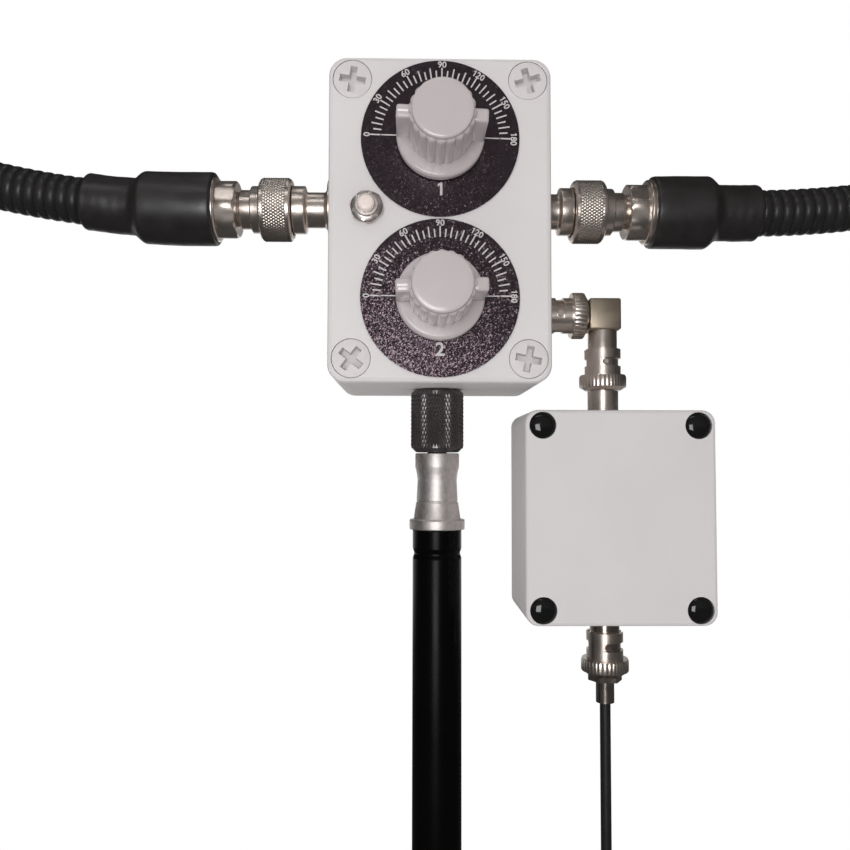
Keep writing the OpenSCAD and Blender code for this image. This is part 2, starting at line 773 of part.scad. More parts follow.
module n_plug(s, reach) {
  keep = reach + nut_len - 3;
  color("silver") from_wall(s) difference() {
    union() {
      translate([0, 0, keep]) cylinder(d = nut_bore - 2 * run, h = collar_keep);
      translate([0, 0, keep]) cylinder(d = plug_neck, h = reach + plug_step - keep - 0.8);
      translate([0, 0, keep]) cylinder(d = plug_neck - 1.4, h = reach + plug_step - keep + 1);
      translate([0, 0, reach + plug_step]) rotate([0, 0, s > 0 ? -5.5 : 5.5]) intersection() {
        octagon(clamp_af, clamp_len);
        cylinder(d = clamp_af + 1.2, h = clamp_len);
      }
      translate([0, 0, reach + plug_step + clamp_len - 0.4]) cylinder(d = barrel_dia, h = barrel_len + 0.4);
    }
    translate([0, 0, reach + plug_step + clamp_len - 0.2]) cylinder(d = barrel_bore, h = 2 * barrel_len);
  }
}

module n_plug_left() {
  n_plug(-1, jack_reach_left);
}

module n_plug_right() {
  n_plug(1, jack_reach_right);
}

module coupling_nut(s, reach) {
  color("silver") from_wall(s) difference() {
    union() {
      translate([0, 0, reach]) cylinder(d1 = nut_dia - 1, d2 = nut_dia, h = 0.5);
      translate([0, 0, reach + 0.5]) cylinder(d = nut_dia, h = nut_len - 1);
      translate([0, 0, reach + nut_len - 0.5]) cylinder(d1 = nut_dia, d2 = nut_dia - 1, h = 0.5);
      translate([0, 0, reach + 1]) cylinder(d = nut_ring_dia, h = nut_len + nut_ring - 1);
    }
    translate([0, 0, reach - 1]) cylinder(d = nut_bore, h = nut_len);
    translate([0, 0, reach]) cylinder(d = nut_hole, h = nut_len + nut_ring + 1);
  }
}

module coupling_nut_left() {
  coupling_nut(-1, jack_reach_left);
}

module coupling_nut_right() {
  coupling_nut(1, jack_reach_right);
}

// Shrunk sleeve: wide over the clamp barrel, then a taper, then close on the cable.
// The narrow part leans with the cable where the loop starts to bend.
module heat_shrink(s, reach, bend, wide, narrow) {
  start = reach + plug_step + clamp_len + 0.4;
  mid = side_x + start + wide + 3 + narrow / 2;
  lean = mid > bend + 8 ? asin((mid - bend) / low_r) : 0;
  lift = low_r * (1 - cos(lean));
  color("black") {
    from_wall(s) difference() {
      union() {
        translate([0, 0, start]) cylinder(d = shrink_in + 2 * shrink_wall, h = wide - 2.2);
        translate([0, 0, start + wide - 2.2])
          cylinder(d1 = shrink_in + 2 * shrink_wall, d2 = narrow_in + 2 * shrink_wall + 1.2, h = 3.8);
        translate([-s * lift, 0, mid - side_x]) rotate([0, -s * lean, 0])
          translate([0, 0, -narrow / 2 - 3.4]) cylinder(d = narrow_in + 2 * shrink_wall, h = narrow + 3.4);
      }
      translate([0, 0, start - 1]) cylinder(d = shrink_in, h = wide - 1.6);
      translate([0, 0, start]) cylinder(d = narrow_in + 1.4, h = wide + 1);
      translate([-s * lift, 0, mid - side_x]) rotate([0, -s * lean, 0])
        cylinder(d = narrow_in, h = narrow + 8, center = true);
    }
  }
}

module heat_shrink_left() {
  heat_shrink(-1, jack_reach_left, bend_left, left_wide, left_narrow);
}

module heat_shrink_right() {
  heat_shrink(1, jack_reach_right, bend_right, right_wide, right_narrow);
}

// Centre line of the loop by length, from the left plug over the top to the right plug
function loop_at(s) =
  s < low_len ? let (a = s / low_r * 180 / PI)
    [-bend_left - low_r * sin(a), 0, plug_z + low_r * (1 - cos(a))] :
  s < low_len + top_len ? let (a = (s - low_len) / top_r * 180 / PI)
    [loop_cx - top_r * cos(a), 0, plug_z + low_r + top_r * sin(a)] :
  s < 2 * low_len + top_len ? let (a = (s - low_len - top_len) / low_r * 180 / PI)
    [bend_right + low_r * cos(a), 0, plug_z + low_r * (1 - sin(a))] :
  [bend_right - (s - 2 * low_len - top_len), 0, plug_z];

function loop_out(s) =
  s < low_len ? let (a = s / low_r * 180 / PI) [-sin(a), 0, -cos(a)] :
  s < low_len + top_len ? let (a = (s - low_len) / top_r * 180 / PI) [-cos(a), 0, sin(a)] :
  s < 2 * low_len + top_len ? let (a = (s - low_len - top_len) / low_r * 180 / PI) [cos(a), 0, -sin(a)] :
  [0, 0, -1];

function ring_at(s, r, sides) = let (c = loop_at(s), out = loop_out(s))
  [for (j = [0 : sides - 1]) c + r * (cos(360 * j / sides) * out + sin(360 * j / sides) * [0, 1, 0])];

// A pipe round the loop, with n rings outside that alternate between two radii and m rings in the bore
module loop_pipe(n, r_even, r_odd, m, r_in) {
  sides = 8;
  skin = [for (i = [0 : n - 1]) each ring_at(cable_len * i / (n - 1), i % 2 == 0 ? r_even : r_odd, sides)];
  bore = [for (i = [0 : m - 1]) each ring_at(cable_len * i / (m - 1), r_in, sides)];
  base = n * sides;
  faces = concat(
    [for (i = [0 : n - 2]) for (j = [0 : sides - 1])
      [i * sides + j, (i + 1) * sides + j, (i + 1) * sides + (j + 1) % sides]],
    [for (i = [0 : n - 2]) for (j = [0 : sides - 1])
      [i * sides + j, (i + 1) * sides + (j + 1) % sides, i * sides + (j + 1) % sides]],
    [for (i = [0 : m - 2]) for (j = [0 : sides - 1])
      [base + i * sides + j, base + (i + 1) * sides + (j + 1) % sides, base + (i + 1) * sides + j]],
    [for (i = [0 : m - 2]) for (j = [0 : sides - 1])
      [base + i * sides + j, base + i * sides + (j + 1) % sides, base + (i + 1) * sides + (j + 1) % sides]],
    [for (j = [0 : sides - 1]) [j, (j + 1) % sides, base + (j + 1) % sides]],
    [for (j = [0 : sides - 1]) [j, base + (j + 1) % sides, base + j]],
    [for (j = [0 : sides - 1])
      [(n - 1) * sides + j, base + (m - 1) * sides + (j + 1) % sides, (n - 1) * sides + (j + 1) % sides]],
    [for (j = [0 : sides - 1])
      [(n - 1) * sides + j, base + (m - 1) * sides + j, base + (m - 1) * sides + (j + 1) % sides]]);
  polyhedron(concat(skin, bore), faces, convexity = 10);
}

module loop_cable() {
  color("black") loop_pipe(2 * ribs, cable_dia / 2, valley_r, ribs, bore_r);
}

module loop_conductor() {
  color("peru") loop_pipe(ribs, copper_dia / 2, copper_dia / 2, ribs, copper_dia / 2 - copper_wall);
}

// Winding through a ring whose axis is Z: an oval turn that walks round the ring
module winding(od, id, t, wire, turns, spread) {
  per = 8;
  mean = (od + id) / 4;
  half_w = (od - id) / 4 * 1.42 + wire / 2 + fit;
  half_t = t / 2 * 1.42 + wire / 2 + fit;
  n = turns * per + 1;
  pts = [for (i = [0 : n - 1]) let (q = 360 * i / per, a = spread * i / (n - 1) - spread / 2)
    [(mean + half_w * cos(q)) * cos(a), (mean + half_w * cos(q)) * sin(a), half_t * sin(q)]];
  sd = [for (i = [0 : n - 1]) let (a = spread * i / (n - 1) - spread / 2) [-sin(a), cos(a), 0]];
  echo(winding_self_gap = self_gap(pts, wire, per / 2));
  sweep(pts, sd, wire / 2, 6);
}

module at_core() {
  translate([side_x - 11.2, 0, plug_z]) rotate([0, 90, 0]) children();
}

module coupling_core() {
  color("dimgray") at_core() difference() {
    cylinder(d = core_od, h = core_t, center = true);
    cylinder(d = core_id, h = core_t + 2, center = true);
  }
}

module coupling_winding() {
  color("peru") at_core() winding(core_od, core_id, core_t, core_wire, core_turns, core_spread);
}

module loop_straps() {
  reach_in = side_x - box_wall - 9;
  edge = rotor_r + 1;
  color("peru") {
    for (s = [-1, 1]) translate([s > 0 ? edge + 0.05 : -reach_in - 4, -strap_w / 2, plug_z + 1.55])
      cube([reach_in + 4 - edge - 0.05, strap_w, strap_t]);
    translate([-edge - 0.05 - strap_t, -strap_w / 2, tuner_z - dial_off - rotor_r])
      cube([strap_t, strap_w, dial_off + rotor_r + plug_up + 1.5]);
  }
}

// Bayonet jack along +Z: the mouth is at z = 0 and the barrel runs back by len
module bnc_barrel(len) {
  difference() {
    union() {
      translate([0, 0, -len]) cylinder(d = bnc_dia, h = len);
      translate([0, 0, -lug_back]) rotate([90, 0, 0]) cylinder(d = lug_dia, h = 2 * lug_reach, center = true);
    }
    translate([0, 0, -9]) cylinder(d = bnc_bore, h = 10);
  }
}

// Front of a bayonet plug: insert, shoulder and neck, up to z = reach
module bnc_nose(reach) {
  difference() {
    union() {
      translate([0, 0, -8]) cylinder(d = insert_dia, h = 9);
      translate([0, 0, run]) cylinder(d = shoulder_dia, h = ring_len - sleeve_back - 2 * run);
      cylinder(d = bnc_neck, h = reach);
    }
    translate([0, 0, -9]) cylinder(d = 5, h = 8.6);
  }
  translate([0, 0, -6]) cylinder(d = 1.4, h = 7);
}

// Turning sleeve of a bayonet plug, with a bent slot for each lug
module bnc_sleeve() {
  difference() {
    union() {
      translate([0, 0, -sleeve_len]) cylinder(d = sleeve_dia, h = sleeve_len + 1);
      cylinder(d = ring_dia, h = ring_len - 1);
      translate([0, 0, ring_len - 1]) cylinder(d1 = ring_dia, d2 = ring_dia - 3, h = 1);
    }
    translate([0, 0, -sleeve_len - 1]) cylinder(d = bnc_clear, h = sleeve_len + 1 + ring_len - sleeve_back);
    cylinder(d = neck_hole, h = ring_len + 1);
    for (a = [90, 270]) {
      rotate([0, 0, a - 106]) translate([0, 0, -lug_back - lug_slot / 2])
        rotate_extrude(angle = 122) translate([3, 0]) square([6, lug_slot]);
      rotate([0, 0, a - 90]) translate([3, -lug_slot / 2, -sleeve_len - 1])
        cube([6, lug_slot, sleeve_len + 1 - lug_back + lug_slot / 2]);
    }
  }
}

// Places a fitting so that its mouth and axis lie on the panel jack
module at_panel() {
  translate([panel_mouth, 0, bnc_z]) rotate([0, 90, 0]) children();
}

module at_elbow_mouth() {
  translate([elbow_x, 0, elbow_mouth]) rotate([180, 0, 0]) children();
}

module at_feed_mouth() {
  translate([elbow_x, 0, feed_mouth]) rotate([180, 0, 0]) children();
}

module bnc_panel_jack() {
  color("silver") at_panel() {
    bnc_barrel(panel_reach + box_wall + 6);
    translate([0, 0, -panel_reach + 0.02]) difference() {
      cylinder(d = 13, h = 1.3);
      translate([0, 0, -1]) cylinder(d = bnc_dia - 0.5, h = 4);
    }
    translate([0, 0, -panel_reach - box_wall - 9]) cylinder(d = 1.6, h = 4);
  }
}

module bnc_panel_nut() {
  color("silver") at_panel() translate([0, 0, -panel_reach - box_wall - 2.52]) difference() {
    hexagon(13, 2.5);
    translate([0, 0, -1]) cylinder(d = bnc_dia + 2 * slip, h = 5);
  }
}

module elbow_body() {
  color("silver") {
    at_panel() bnc_nose(ring_len + run + 1);
    translate([elbow_x, 0, bnc_z]) cube(elbow_side, center = true);
    at_elbow_mouth() bnc_barrel(elbow_drop + 1);
  }
}

module elbow_sleeve() {
  color("silver") at_panel() bnc_sleeve();
}

module at_choke() {
  translate([elbow_x, 0, choke_z]) children();
}

module at_covers() {
  at_choke() for (x = [-1, 1]) for (z = [-1, 1]) translate([x * cover_x, 0, z * cover_z]) children();
}

module choke_case() {
  color("gainsboro") difference() {
    union() {
      at_choke() difference() {
        slab(choke_w, choke_h, choke_seam, choke_d - choke_front, choke_round);
        slab(choke_w - 2 * choke_wall, choke_h - 2 * choke_wall, choke_seam - 1,
          choke_d - choke_front - choke_wall, choke_round - choke_wall);
      }
      at_covers() bar_y(8, choke_seam, choke_d - choke_front - 1);
      for (x = [-1, 1]) translate([elbow_x + x * 5, 0, choke_z + (choke_od + choke_id) / 4 - 1.2])
        bar_y(4, choke_y + 4 + choke_t / 2 + slip, choke_d - choke_front - 1);
    }
    at_covers() bar_y(3 + 2 * fit, choke_seam - 1, choke_seam + 13);
    at_choke() difference() {
      slab(choke_w - 1.2, choke_h - 1.2, choke_seam - 1, choke_seam + seal_groove, choke_round - 0.6);
      slab(choke_w - 3.4, choke_h - 3.4, choke_seam - 2, choke_seam + seal_groove + 1, choke_round - 1.7);
    }
    for (z = [choke_top, choke_low]) translate([elbow_x, 0, z])
      cylinder(d = bnc_dia + 2 * fit, h = 4 * choke_wall, center = true);
  }
}

module choke_lid() {
  color("gainsboro") difference() {
    union() {
      at_choke() difference() {
        union() {
          slab(choke_w, choke_h, -choke_front + 1, choke_seam - lid_seam, choke_round);
          bevel_front(choke_w, choke_h, -choke_front, 1, choke_round);
        }
        slab(choke_w - 2 * choke_wall, choke_h - 2 * choke_wall, choke_wall - choke_front, choke_seam,
          choke_round - choke_wall);
      }
      at_covers() bar_y(8, -choke_front + 4, choke_seam - lid_seam);
    }
    at_covers() bar_y(cover_dia + 2 * fit, -choke_front - 1, -choke_front + 4.6);
    at_covers() bar_y(3 + 4 * fit, -choke_front, choke_seam + 1);
  }
}

module choke_gasket() {
  color("dimgray") at_choke() difference() {
    slab(choke_w - 1.2 - 2 * slip, choke_h - 1.2 - 2 * slip, choke_seam - lid_seam + slip,
      choke_seam + seal_groove - slip, choke_round - 0.6 - slip);
    slab(choke_w - 3.4 + 2 * slip, choke_h - 3.4 + 2 * slip, choke_seam - 1,
      choke_seam + seal_groove + 1, choke_round - 1.7 + slip);
  }
}

module choke_screws() {
  color("silver") at_covers() {
    bar_y(3, -choke_front + 3, choke_seam + 12);
    bar_y(5.6, -choke_front + 2.6, -choke_front + 4.58);
  }
}

module choke_plugs() {
  color("black") at_covers() {
    bar_y(cover_dia, -choke_front + 0.6, -choke_front + 2.5);
    translate([0, -choke_front + 0.6, 0]) rotate([90, 0, 0]) cylinder(d1 = cover_dia, d2 = cover_dia - 1.6, h = 0.5);
    translate([0, -choke_front + 0.1, 0]) rotate([90, 0, 0])
      cylinder(d1 = cover_dia - 1.6, d2 = cover_dia - 4.4, h = 0.4);
  }
}

module at_ring() {
  translate([elbow_x, choke_y + 4, choke_z]) rotate([90, 90, 0]) children();
}

module choke_core() {
  color("dimgray") at_ring() difference() {
    cylinder(d = choke_od, h = choke_t, center = true);
    cylinder(d = choke_id, h = choke_t + 2, center = true);
  }
}

module choke_winding() {
  color("tan") at_ring() winding(choke_od, choke_id, choke_t, choke_wire, choke_turns, choke_spread);
}

module choke_top_plug() {
  color("silver") at_elbow_mouth() {
    bnc_nose(ring_len + run + 1);
    translate([0, 0, ring_len + run]) cylinder(d = top_neck, h = top_neck_len - 0.02);
    translate([0, 0, ring_len + run + top_neck_len - 0.1]) cylinder(d = bnc_dia, h = choke_wall + 6);
    translate([0, 0, ring_len + run + top_neck_len + choke_wall + 5]) cylinder(d = 1.6, h = 4);
  }
}

module choke_sleeve() {
  color("silver") at_elbow_mouth() bnc_sleeve();
}

module choke_jack() {
  color("silver") at_feed_mouth() {
    bnc_barrel(lower_reach + choke_wall + 6);
    translate([0, 0, -lower_reach - choke_wall - 1.22]) difference() {
      cylinder(d = 13, h = 1.2);
      translate([0, 0, -1]) cylinder(d = bnc_dia - 0.5, h = 4);
    }
    translate([0, 0, -lower_reach - choke_wall - 9]) cylinder(d = 1.6, h = 4);
  }
}

module choke_nuts() {
  color("silver") {
    at_feed_mouth() translate([0, 0, -lower_reach + 0.02]) difference() {
      hexagon(13, 2.6);
      translate([0, 0, -1]) cylinder(d = bnc_dia + 2 * slip, h = 5);
    }
    translate([elbow_x, 0, choke_top - choke_wall - 2.62]) difference() {
      hexagon(13, 2.6);
      translate([0, 0, -1]) cylinder(d = bnc_dia + 2 * slip, h = 5);
    }
  }
}

module plug_tail() {
  difference() {
    union() {
      bnc_nose(ring_len + run + 0.5);
      translate([0, 0, ring_len + run]) intersection() {
        cylinder(d = gland_dia, h = gland_len);
        hexagon(gland_dia - 1.2, gland_len);
      }
      translate([0, 0, ring_len + run]) cylinder(d = ferrule_dia - 1.2, h = gland_len + ferrule_len - 2);
    }
    translate([0, 0, ring_len + run + gland_len - 0.6]) cylinder(d = lead_dia + 2 * fit, h = ferrule_len + 4);
  }
}

module feed_plug() {
  color("silver") at_feed_mouth() plug_tail();
}

module feed_sleeve() {
  color("silver") at_feed_mouth() bnc_sleeve();
}

module feed_ferrule() {
  color("silver") translate([elbow_x, 0, ferrule_low]) difference() {
    cylinder(d = ferrule_dia, h = ferrule_len - 0.02);
    translate([0, 0, -1]) cylinder(d = lead_dia + 2 * fit, h = ferrule_len + 2);
    translate([0, 0, 1.9]) cylinder(d = ferrule_dia - 1.2 + 2 * slip, h = ferrule_len);
  }
}

// The lead hangs straight from the ferrule, then two bends take it to the coil's left side
module feed_lead() {
  top = ferrule_low + 4;
  drop = 8;
  steps = 6;
  swing = acos(1 - coil_out / (2 * lead_bend));
  low = lead_low - 2 * lead_bend * sin(swing);
  pts = concat(
    [for (i = [0 : drop]) [elbow_x, 0, top + (lead_low - top) * i / drop]],
    [for (i = [1 : steps]) let (a = swing * i / steps)
      [elbow_x - lead_bend * (1 - cos(a)), 0, lead_low - lead_bend * sin(a)]],
    [for (i = [1 : steps]) let (a = swing * (1 - i / steps))
      [coil_x + lead_bend * (1 - cos(a)), 0, low + lead_bend * sin(a)]],
    [[coil_x, 0, (low + coil_up + lead_end) / 2], [coil_x, 0, coil_up + lead_end + 0.02]]);
  color("black") sweep(pts, [for (p = pts) [0, 1, 0]], lead_dia / 2, 8);
}

// Four flat layers by turns: the wire spirals in, climbs a layer in half a turn, and spirals out again
function coil_radius(t) = coil_in + abs(layer_turns - (t % (2 * layer_turns))) * coil_step;
function coil_layer(t) = let (k = round(t / layer_turns))
  coil_step * (k < 1 ? 0 : k > 3 ? 3 : k - 1 + min(1, max(0, 2 * (t - k * layer_turns) + 0.5)));

module feed_coil() {
  per = 24;
  n = 4 * layer_turns * per;
  turns = [for (i = [0 : n]) let (t = i / per)
    [elbow_x - coil_radius(t) * cos(360 * t), coil_layer(t), coil_up - coil_radius(t) * sin(360 * t)]];
  pts = concat([[coil_x, 0, coil_up + lead_end]], turns,
    [[coil_x, tail_y, coil_up - lead_end], [coil_x, tail_y, tail_low]]);
  echo(coil_self_gap = self_gap(turns, lead_dia, per / 2));
  color("black") sweep(pts, [for (p = pts) [0, 1, 0]], lead_dia / 2, 6);
}

module feed_tie() {
  in_r = sqrt(pow(coil_in - lead_dia / 2, 2) - pow(tie_w / 2, 2)) - tie_room;
  out_r = coil_out - coil_step / 2 + lead_dia / 2 + tie_room;
  half_y = (tail_y + lead_dia) / 2 + tie_room;
  color("dimgray") translate([elbow_x, tail_y / 2, coil_up]) difference() {
    translate([in_r - tie_t, -half_y - tie_t, -tie_w / 2])
      cube([out_r - in_r + 2 * tie_t, 2 * half_y + 2 * tie_t, tie_w]);
    translate([in_r, -half_y, -tie_w]) cube([out_r - in_r, 2 * half_y, 2 * tie_w]);
  }
}

// Plug on the far end of the lead, hanging from the tail
module far_plug() {
  color("silver") translate([coil_x, tail_y, tail_low - ring_len - run - gland_len + 0.6]) {
    plug_tail();
    bnc_sleeve();
    translate([0, 0, ring_len + run + gland_len]) difference() {
      cylinder(d = ferrule_dia, h = ferrule_len);
      translate([0, 0, -1]) cylinder(d = ferrule_dia - 1.2 + 2 * slip, h = ferrule_len - 0.9);
      cylinder(d = lead_dia + 2 * fit, h = ferrule_len + 1);
    }
  }
}

module mast_insert() {
  color("goldenrod") translate([0, 0, box_low]) difference() {
    union() {
      translate([0, 0, slip]) cylinder(d = insert_out, h = insert_h - slip);
      translate([0, 0, box_wall + 0.02]) cylinder(d = insert_flange, h = 0.36 * (insert_h - box_wall));
    }
    translate([0, 0, -1]) cylinder(d = stud_dia + 2 * slip, h = insert_h - insert_cap + 1);
  }
}

module mast_collar() {
  color("black") translate([0, 0, collar_z]) difference() {
    union() {
      cylinder(d1 = collar_dia - 2, d2 = collar_dia, h = 1);
      translate([0, 0, 1]) cylinder(d = collar_dia, h = collar_h - 1.5);
      translate([0, 0, collar_h - 0.5]) cylinder(d1 = collar_dia, d2 = collar_dia - 1, h = 0.5);
    }
    translate([0, 0, -1]) cylinder(d = stud_dia + 2 * slip, h = collar_h + 2);
  }
}

module mast_adapter() {
  r0 = adapter_top / 2;
  r1 = adapter_waist / 2;
  r2 = flange_dia / 2;
  r3 = mast_dia / 2 - mast_wall - grip - slip;
  color("silver") {
    translate([0, 0, mast_len]) rotate_extrude() polygon([[0, -spigot_len], [r3 - 0.8, -spigot_len],
      [r3, 0.8 - spigot_len], [r3, 0.02], [r2 - 0.4, 0.02], [r2, 0.4], [r2, flange_t - 0.4], [r2 - 0.4, flange_t],
      [r2 - 1.4, flange_t], [r1 + 0.5, 8.4], [r1 + 0.5, 8.7], [r1 + 0.2, 8.7], [r1 + 0.2, 9.1],
      [r1 + 0.3, 9.3], [r1, adapter_h - crown - 4.4], [r1 + 0.3, adapter_h - crown - 2.4],
      [r0, adapter_h - crown], [r0, adapter_h - 0.4],
      [r0 - 0.4, adapter_h], [0, adapter_h]]);
    translate([0, 0, mast_len]) cylinder(d = stud_dia, h = stud_top - mast_len);
  }
}

module mast_tube() {
  color("black") difference() {
    cylinder(d = mast_dia, h = mast_len);
    translate([0, 0, -1]) cylinder(d = mast_dia - 2 * mast_wall, h = mast_len - spigot_len + 1);
    cylinder(d = mast_dia - 2 * (mast_wall + grip), h = mast_len + 1);
    translate([0, 0, mast_len - groove_down - 0.7]) difference() {
      cylinder(d = mast_dia + 2, h = 1.4);
      translate([0, 0, -1]) cylinder(d = mast_dia - 0.8, h = 4);
    }
  }
}

tuner_case();
tuner_lid();
lid_gasket();
lid_screws();
dial_plate_a();
dial_plate_b();
capacitor_a_frame();
capacitor_a_stator();
capacitor_a_rotor();
capacitor_b_frame();
capacitor_b_stator();
capacitor_b_rotor();
capacitor_nuts();
knob_a();
knob_b();
knob_a_screw();
knob_b_screw();
switch_body();
switch_nut();
switch_button();
n_jack_left();
n_jack_right();
n_jack_nuts();
n_plug_left();
n_plug_right();
coupling_nut_left();
coupling_nut_right();
heat_shrink_left();
heat_shrink_right();
loop_cable();
loop_conductor();
coupling_core();
coupling_winding();
loop_straps();
bnc_panel_jack();
bnc_panel_nut();
elbow_body();
elbow_sleeve();
choke_case();
choke_lid();
choke_gasket();
choke_screws();
choke_plugs();
choke_core();
choke_winding();
choke_top_plug();
choke_sleeve();
choke_jack();
choke_nuts();
feed_plug();
feed_sleeve();
feed_ferrule();
feed_lead();
feed_coil();
feed_tie();
far_plug();
mast_insert();
mast_collar();
mast_adapter();
mast_tube();
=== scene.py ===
import bmesh
import bpy
import math
from mathutils import Matrix, Vector, geometry, noise


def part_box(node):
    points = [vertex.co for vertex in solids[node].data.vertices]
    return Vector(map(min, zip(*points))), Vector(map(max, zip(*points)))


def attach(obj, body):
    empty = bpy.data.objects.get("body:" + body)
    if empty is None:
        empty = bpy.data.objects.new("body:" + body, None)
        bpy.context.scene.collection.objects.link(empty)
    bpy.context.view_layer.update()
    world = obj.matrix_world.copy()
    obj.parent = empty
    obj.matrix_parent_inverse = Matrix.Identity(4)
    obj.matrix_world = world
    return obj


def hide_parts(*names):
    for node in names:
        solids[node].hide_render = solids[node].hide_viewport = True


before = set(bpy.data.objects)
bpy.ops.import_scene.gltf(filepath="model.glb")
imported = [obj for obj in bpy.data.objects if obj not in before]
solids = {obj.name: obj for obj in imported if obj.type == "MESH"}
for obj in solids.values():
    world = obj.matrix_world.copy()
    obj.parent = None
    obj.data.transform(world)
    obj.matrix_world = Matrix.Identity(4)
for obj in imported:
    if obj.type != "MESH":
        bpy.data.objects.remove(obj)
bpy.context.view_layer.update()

# Mast tube: a thin aluminium tube, drawn, cut square and painted gloss black.
# Its top is rolled in over the adapter's spigot, which leaves a shallow groove round it.
MM = 0.001


def span(node):
    """Lowest and highest corner of a solid, in millimetres."""
    low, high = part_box(node)
    return low / MM, high / MM


def put(tree, kind, inputs, **settings):
    """Adds a shader node with its settings, linked or set inputs."""
    node = tree.nodes.new("ShaderNode" + kind)
    for key, value in settings.items():
        setattr(node, key, value)
    for key, value in inputs.items():
        if isinstance(value, bpy.types.NodeSocket):
            tree.links.new(value, node.inputs[key])
        else:
            node.inputs[key].default_value = value
    return node


grain = bpy.data.node_groups.new("surface_grain", "ShaderNodeTree")
for way, label, kind in (
    ("INPUT", "Colour", "Color"),
    ("INPUT", "Spread", "Float"),
    ("INPUT", "Patch size", "Float"),
    ("INPUT", "Grain size", "Float"),
    ("OUTPUT", "Colour", "Color"),
    ("OUTPUT", "Patch", "Float"),
    ("OUTPUT", "Grain", "Float"),
):
    grain.interface.new_socket(name=label, in_out=way, socket_type="NodeSocket" + kind)
asked = grain.nodes.new("NodeGroupInput").outputs
where = put(grain, "TexCoord", {}).outputs["Object"]
patch_scale = put(grain, "Math", {0: 1000.0, 1: asked["Patch size"]}, operation="DIVIDE").outputs[0]
grain_scale = put(grain, "Math", {0: 1000.0, 1: asked["Grain size"]}, operation="DIVIDE").outputs[0]
patches = put(grain, "TexNoise", {"Vector": where, "Scale": patch_scale, "Detail": 3.0}).outputs["Fac"]
grains = put(grain, "TexNoise", {"Vector": where, "Scale": grain_scale, "Detail": 2.0}).outputs["Fac"]
level = put(grain, "Math", {0: patches, 1: 2.0, 2: -1.0}, operation="MULTIPLY_ADD").outputs[0]
gain = put(grain, "Math", {0: level, 1: asked["Spread"], 2: 1.0}, operation="MULTIPLY_ADD").outputs[0]
tinted = put(grain, "VectorMath", {0: asked["Colour"], 3: gain}, operation="SCALE").outputs[0]
given = grain.nodes.new("NodeGroupOutput").inputs
grain.links.new(tinted, given["Colour"])
grain.links.new(level, given["Patch"])
grain.links.new(grains, given["Grain"])


def finish(name, colour, rough, metal=0.0, spread=0.1, patch=9.0, size=0.5, relief=0.1, deep=0.05,
           drift=0.12, coat=0.0, gloss=0.5):
    """A surface with patchy colour and sheen and a fine grain; patch, size and deep are in millimetres."""
    look = bpy.data.materials.new(name)
    look.use_nodes = True
    tree = look.node_tree
    shader = tree.nodes["Principled BSDF"]
    surface = tree.nodes.new("ShaderNodeGroup")
    surface.node_tree = grain
    surface.inputs["Colour"].default_value = (*colour, 1.0)
    surface.inputs["Spread"].default_value = spread
    surface.inputs["Patch size"].default_value = patch
    surface.inputs["Grain size"].default_value = size
    tree.links.new(surface.outputs["Colour"], shader.inputs["Base Color"])
    sheen = put(tree, "Math", {0: surface.outputs["Patch"], 1: drift, 2: rough}, operation="MULTIPLY_ADD",
                use_clamp=True)
    tree.links.new(sheen.outputs[0], shader.inputs["Roughness"])
    bump = put(tree, "Bump", {"Strength": relief, "Distance": deep * MM,
                              "Height": surface.outputs["Grain"]})
    tree.links.new(bump.outputs[0], shader.inputs["Normal"])
    shader.inputs["Metallic"].default_value = metal
    shader.inputs["Coat Weight"].default_value = coat
    shader.inputs["Specular IOR Level"].default_value = gloss
    return look


def shape(name, form, look, body, stands_for=(), sharp=38.0):
    """One closed piece from points and faces in millimetres, riding on its body."""
    points, faces = form
    mesh = bpy.data.meshes.new(name)
    mesh.from_pydata([Vector(p) * MM for p in points], [], faces)
    work = bmesh.new()
    work.from_mesh(mesh)
    bmesh.ops.remove_doubles(work, verts=work.verts, dist=0.001 * MM)
    bmesh.ops.recalc_face_normals(work, faces=work.faces)
    work.to_mesh(mesh)
    work.free()
    mesh.polygons.foreach_set("use_smooth", [True] * len(mesh.polygons))
    mesh.set_sharp_from_angle(angle=math.radians(sharp))
    mesh.materials.append(look)
    piece = bpy.data.objects.new(name, mesh)
    bpy.context.scene.collection.objects.link(piece)
    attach(piece, body)
    if stands_for:
        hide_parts(*stands_for)
    return piece


def polar(radius, turn, height):
    """A point by its distance from local Z, its angle and its height."""
    return Vector((radius * math.cos(turn), radius * math.sin(turn), height))


def turned(profile, place=Matrix(), steps=72):
    """A turned form: a closed outline of (radius, height) pairs, spun about local Z."""
    points, rings, faces = [], [], []
    for radius, height in profile:
        if radius < 1e-6:
            rings.append([len(points)])
            points.append(place @ Vector((0, 0, height)))
        else:
            rings.append(list(range(len(points), len(points) + steps)))
            points += [place @ polar(radius, 2 * math.pi * i / steps, height) for i in range(steps)]
    for low, high in zip(rings, rings[1:]):
        for i in range(steps):
            j = (i + 1) % steps
            face = low[i % len(low)], low[j % len(low)], high[j % len(high)], high[i % len(high)]
            face = list(dict.fromkeys(face))
            if len(face) > 2:
                faces.append(face)
    return points, faces


def eased(profile, ease=0.25, cuts=3):
    """The outline with its corners rounded, as tools and plating leave them."""
    smooth = [profile[0]]
    for before, corner, after in zip(profile, profile[1:], profile[2:]):
        here, back, on = Vector(corner), Vector(before), Vector(after)
        reach = min(ease, 0.45 * (back - here).length, 0.45 * (on - here).length)
        start = here + (back - here).normalized() * reach
        stop = here + (on - here).normalized() * reach
        for i in range(cuts + 1):
            t = i / cuts
            smooth.append(tuple((1 - t) ** 2 * start + 2 * t * (1 - t) * here + t * t * stop))
    return smooth + [profile[-1]]


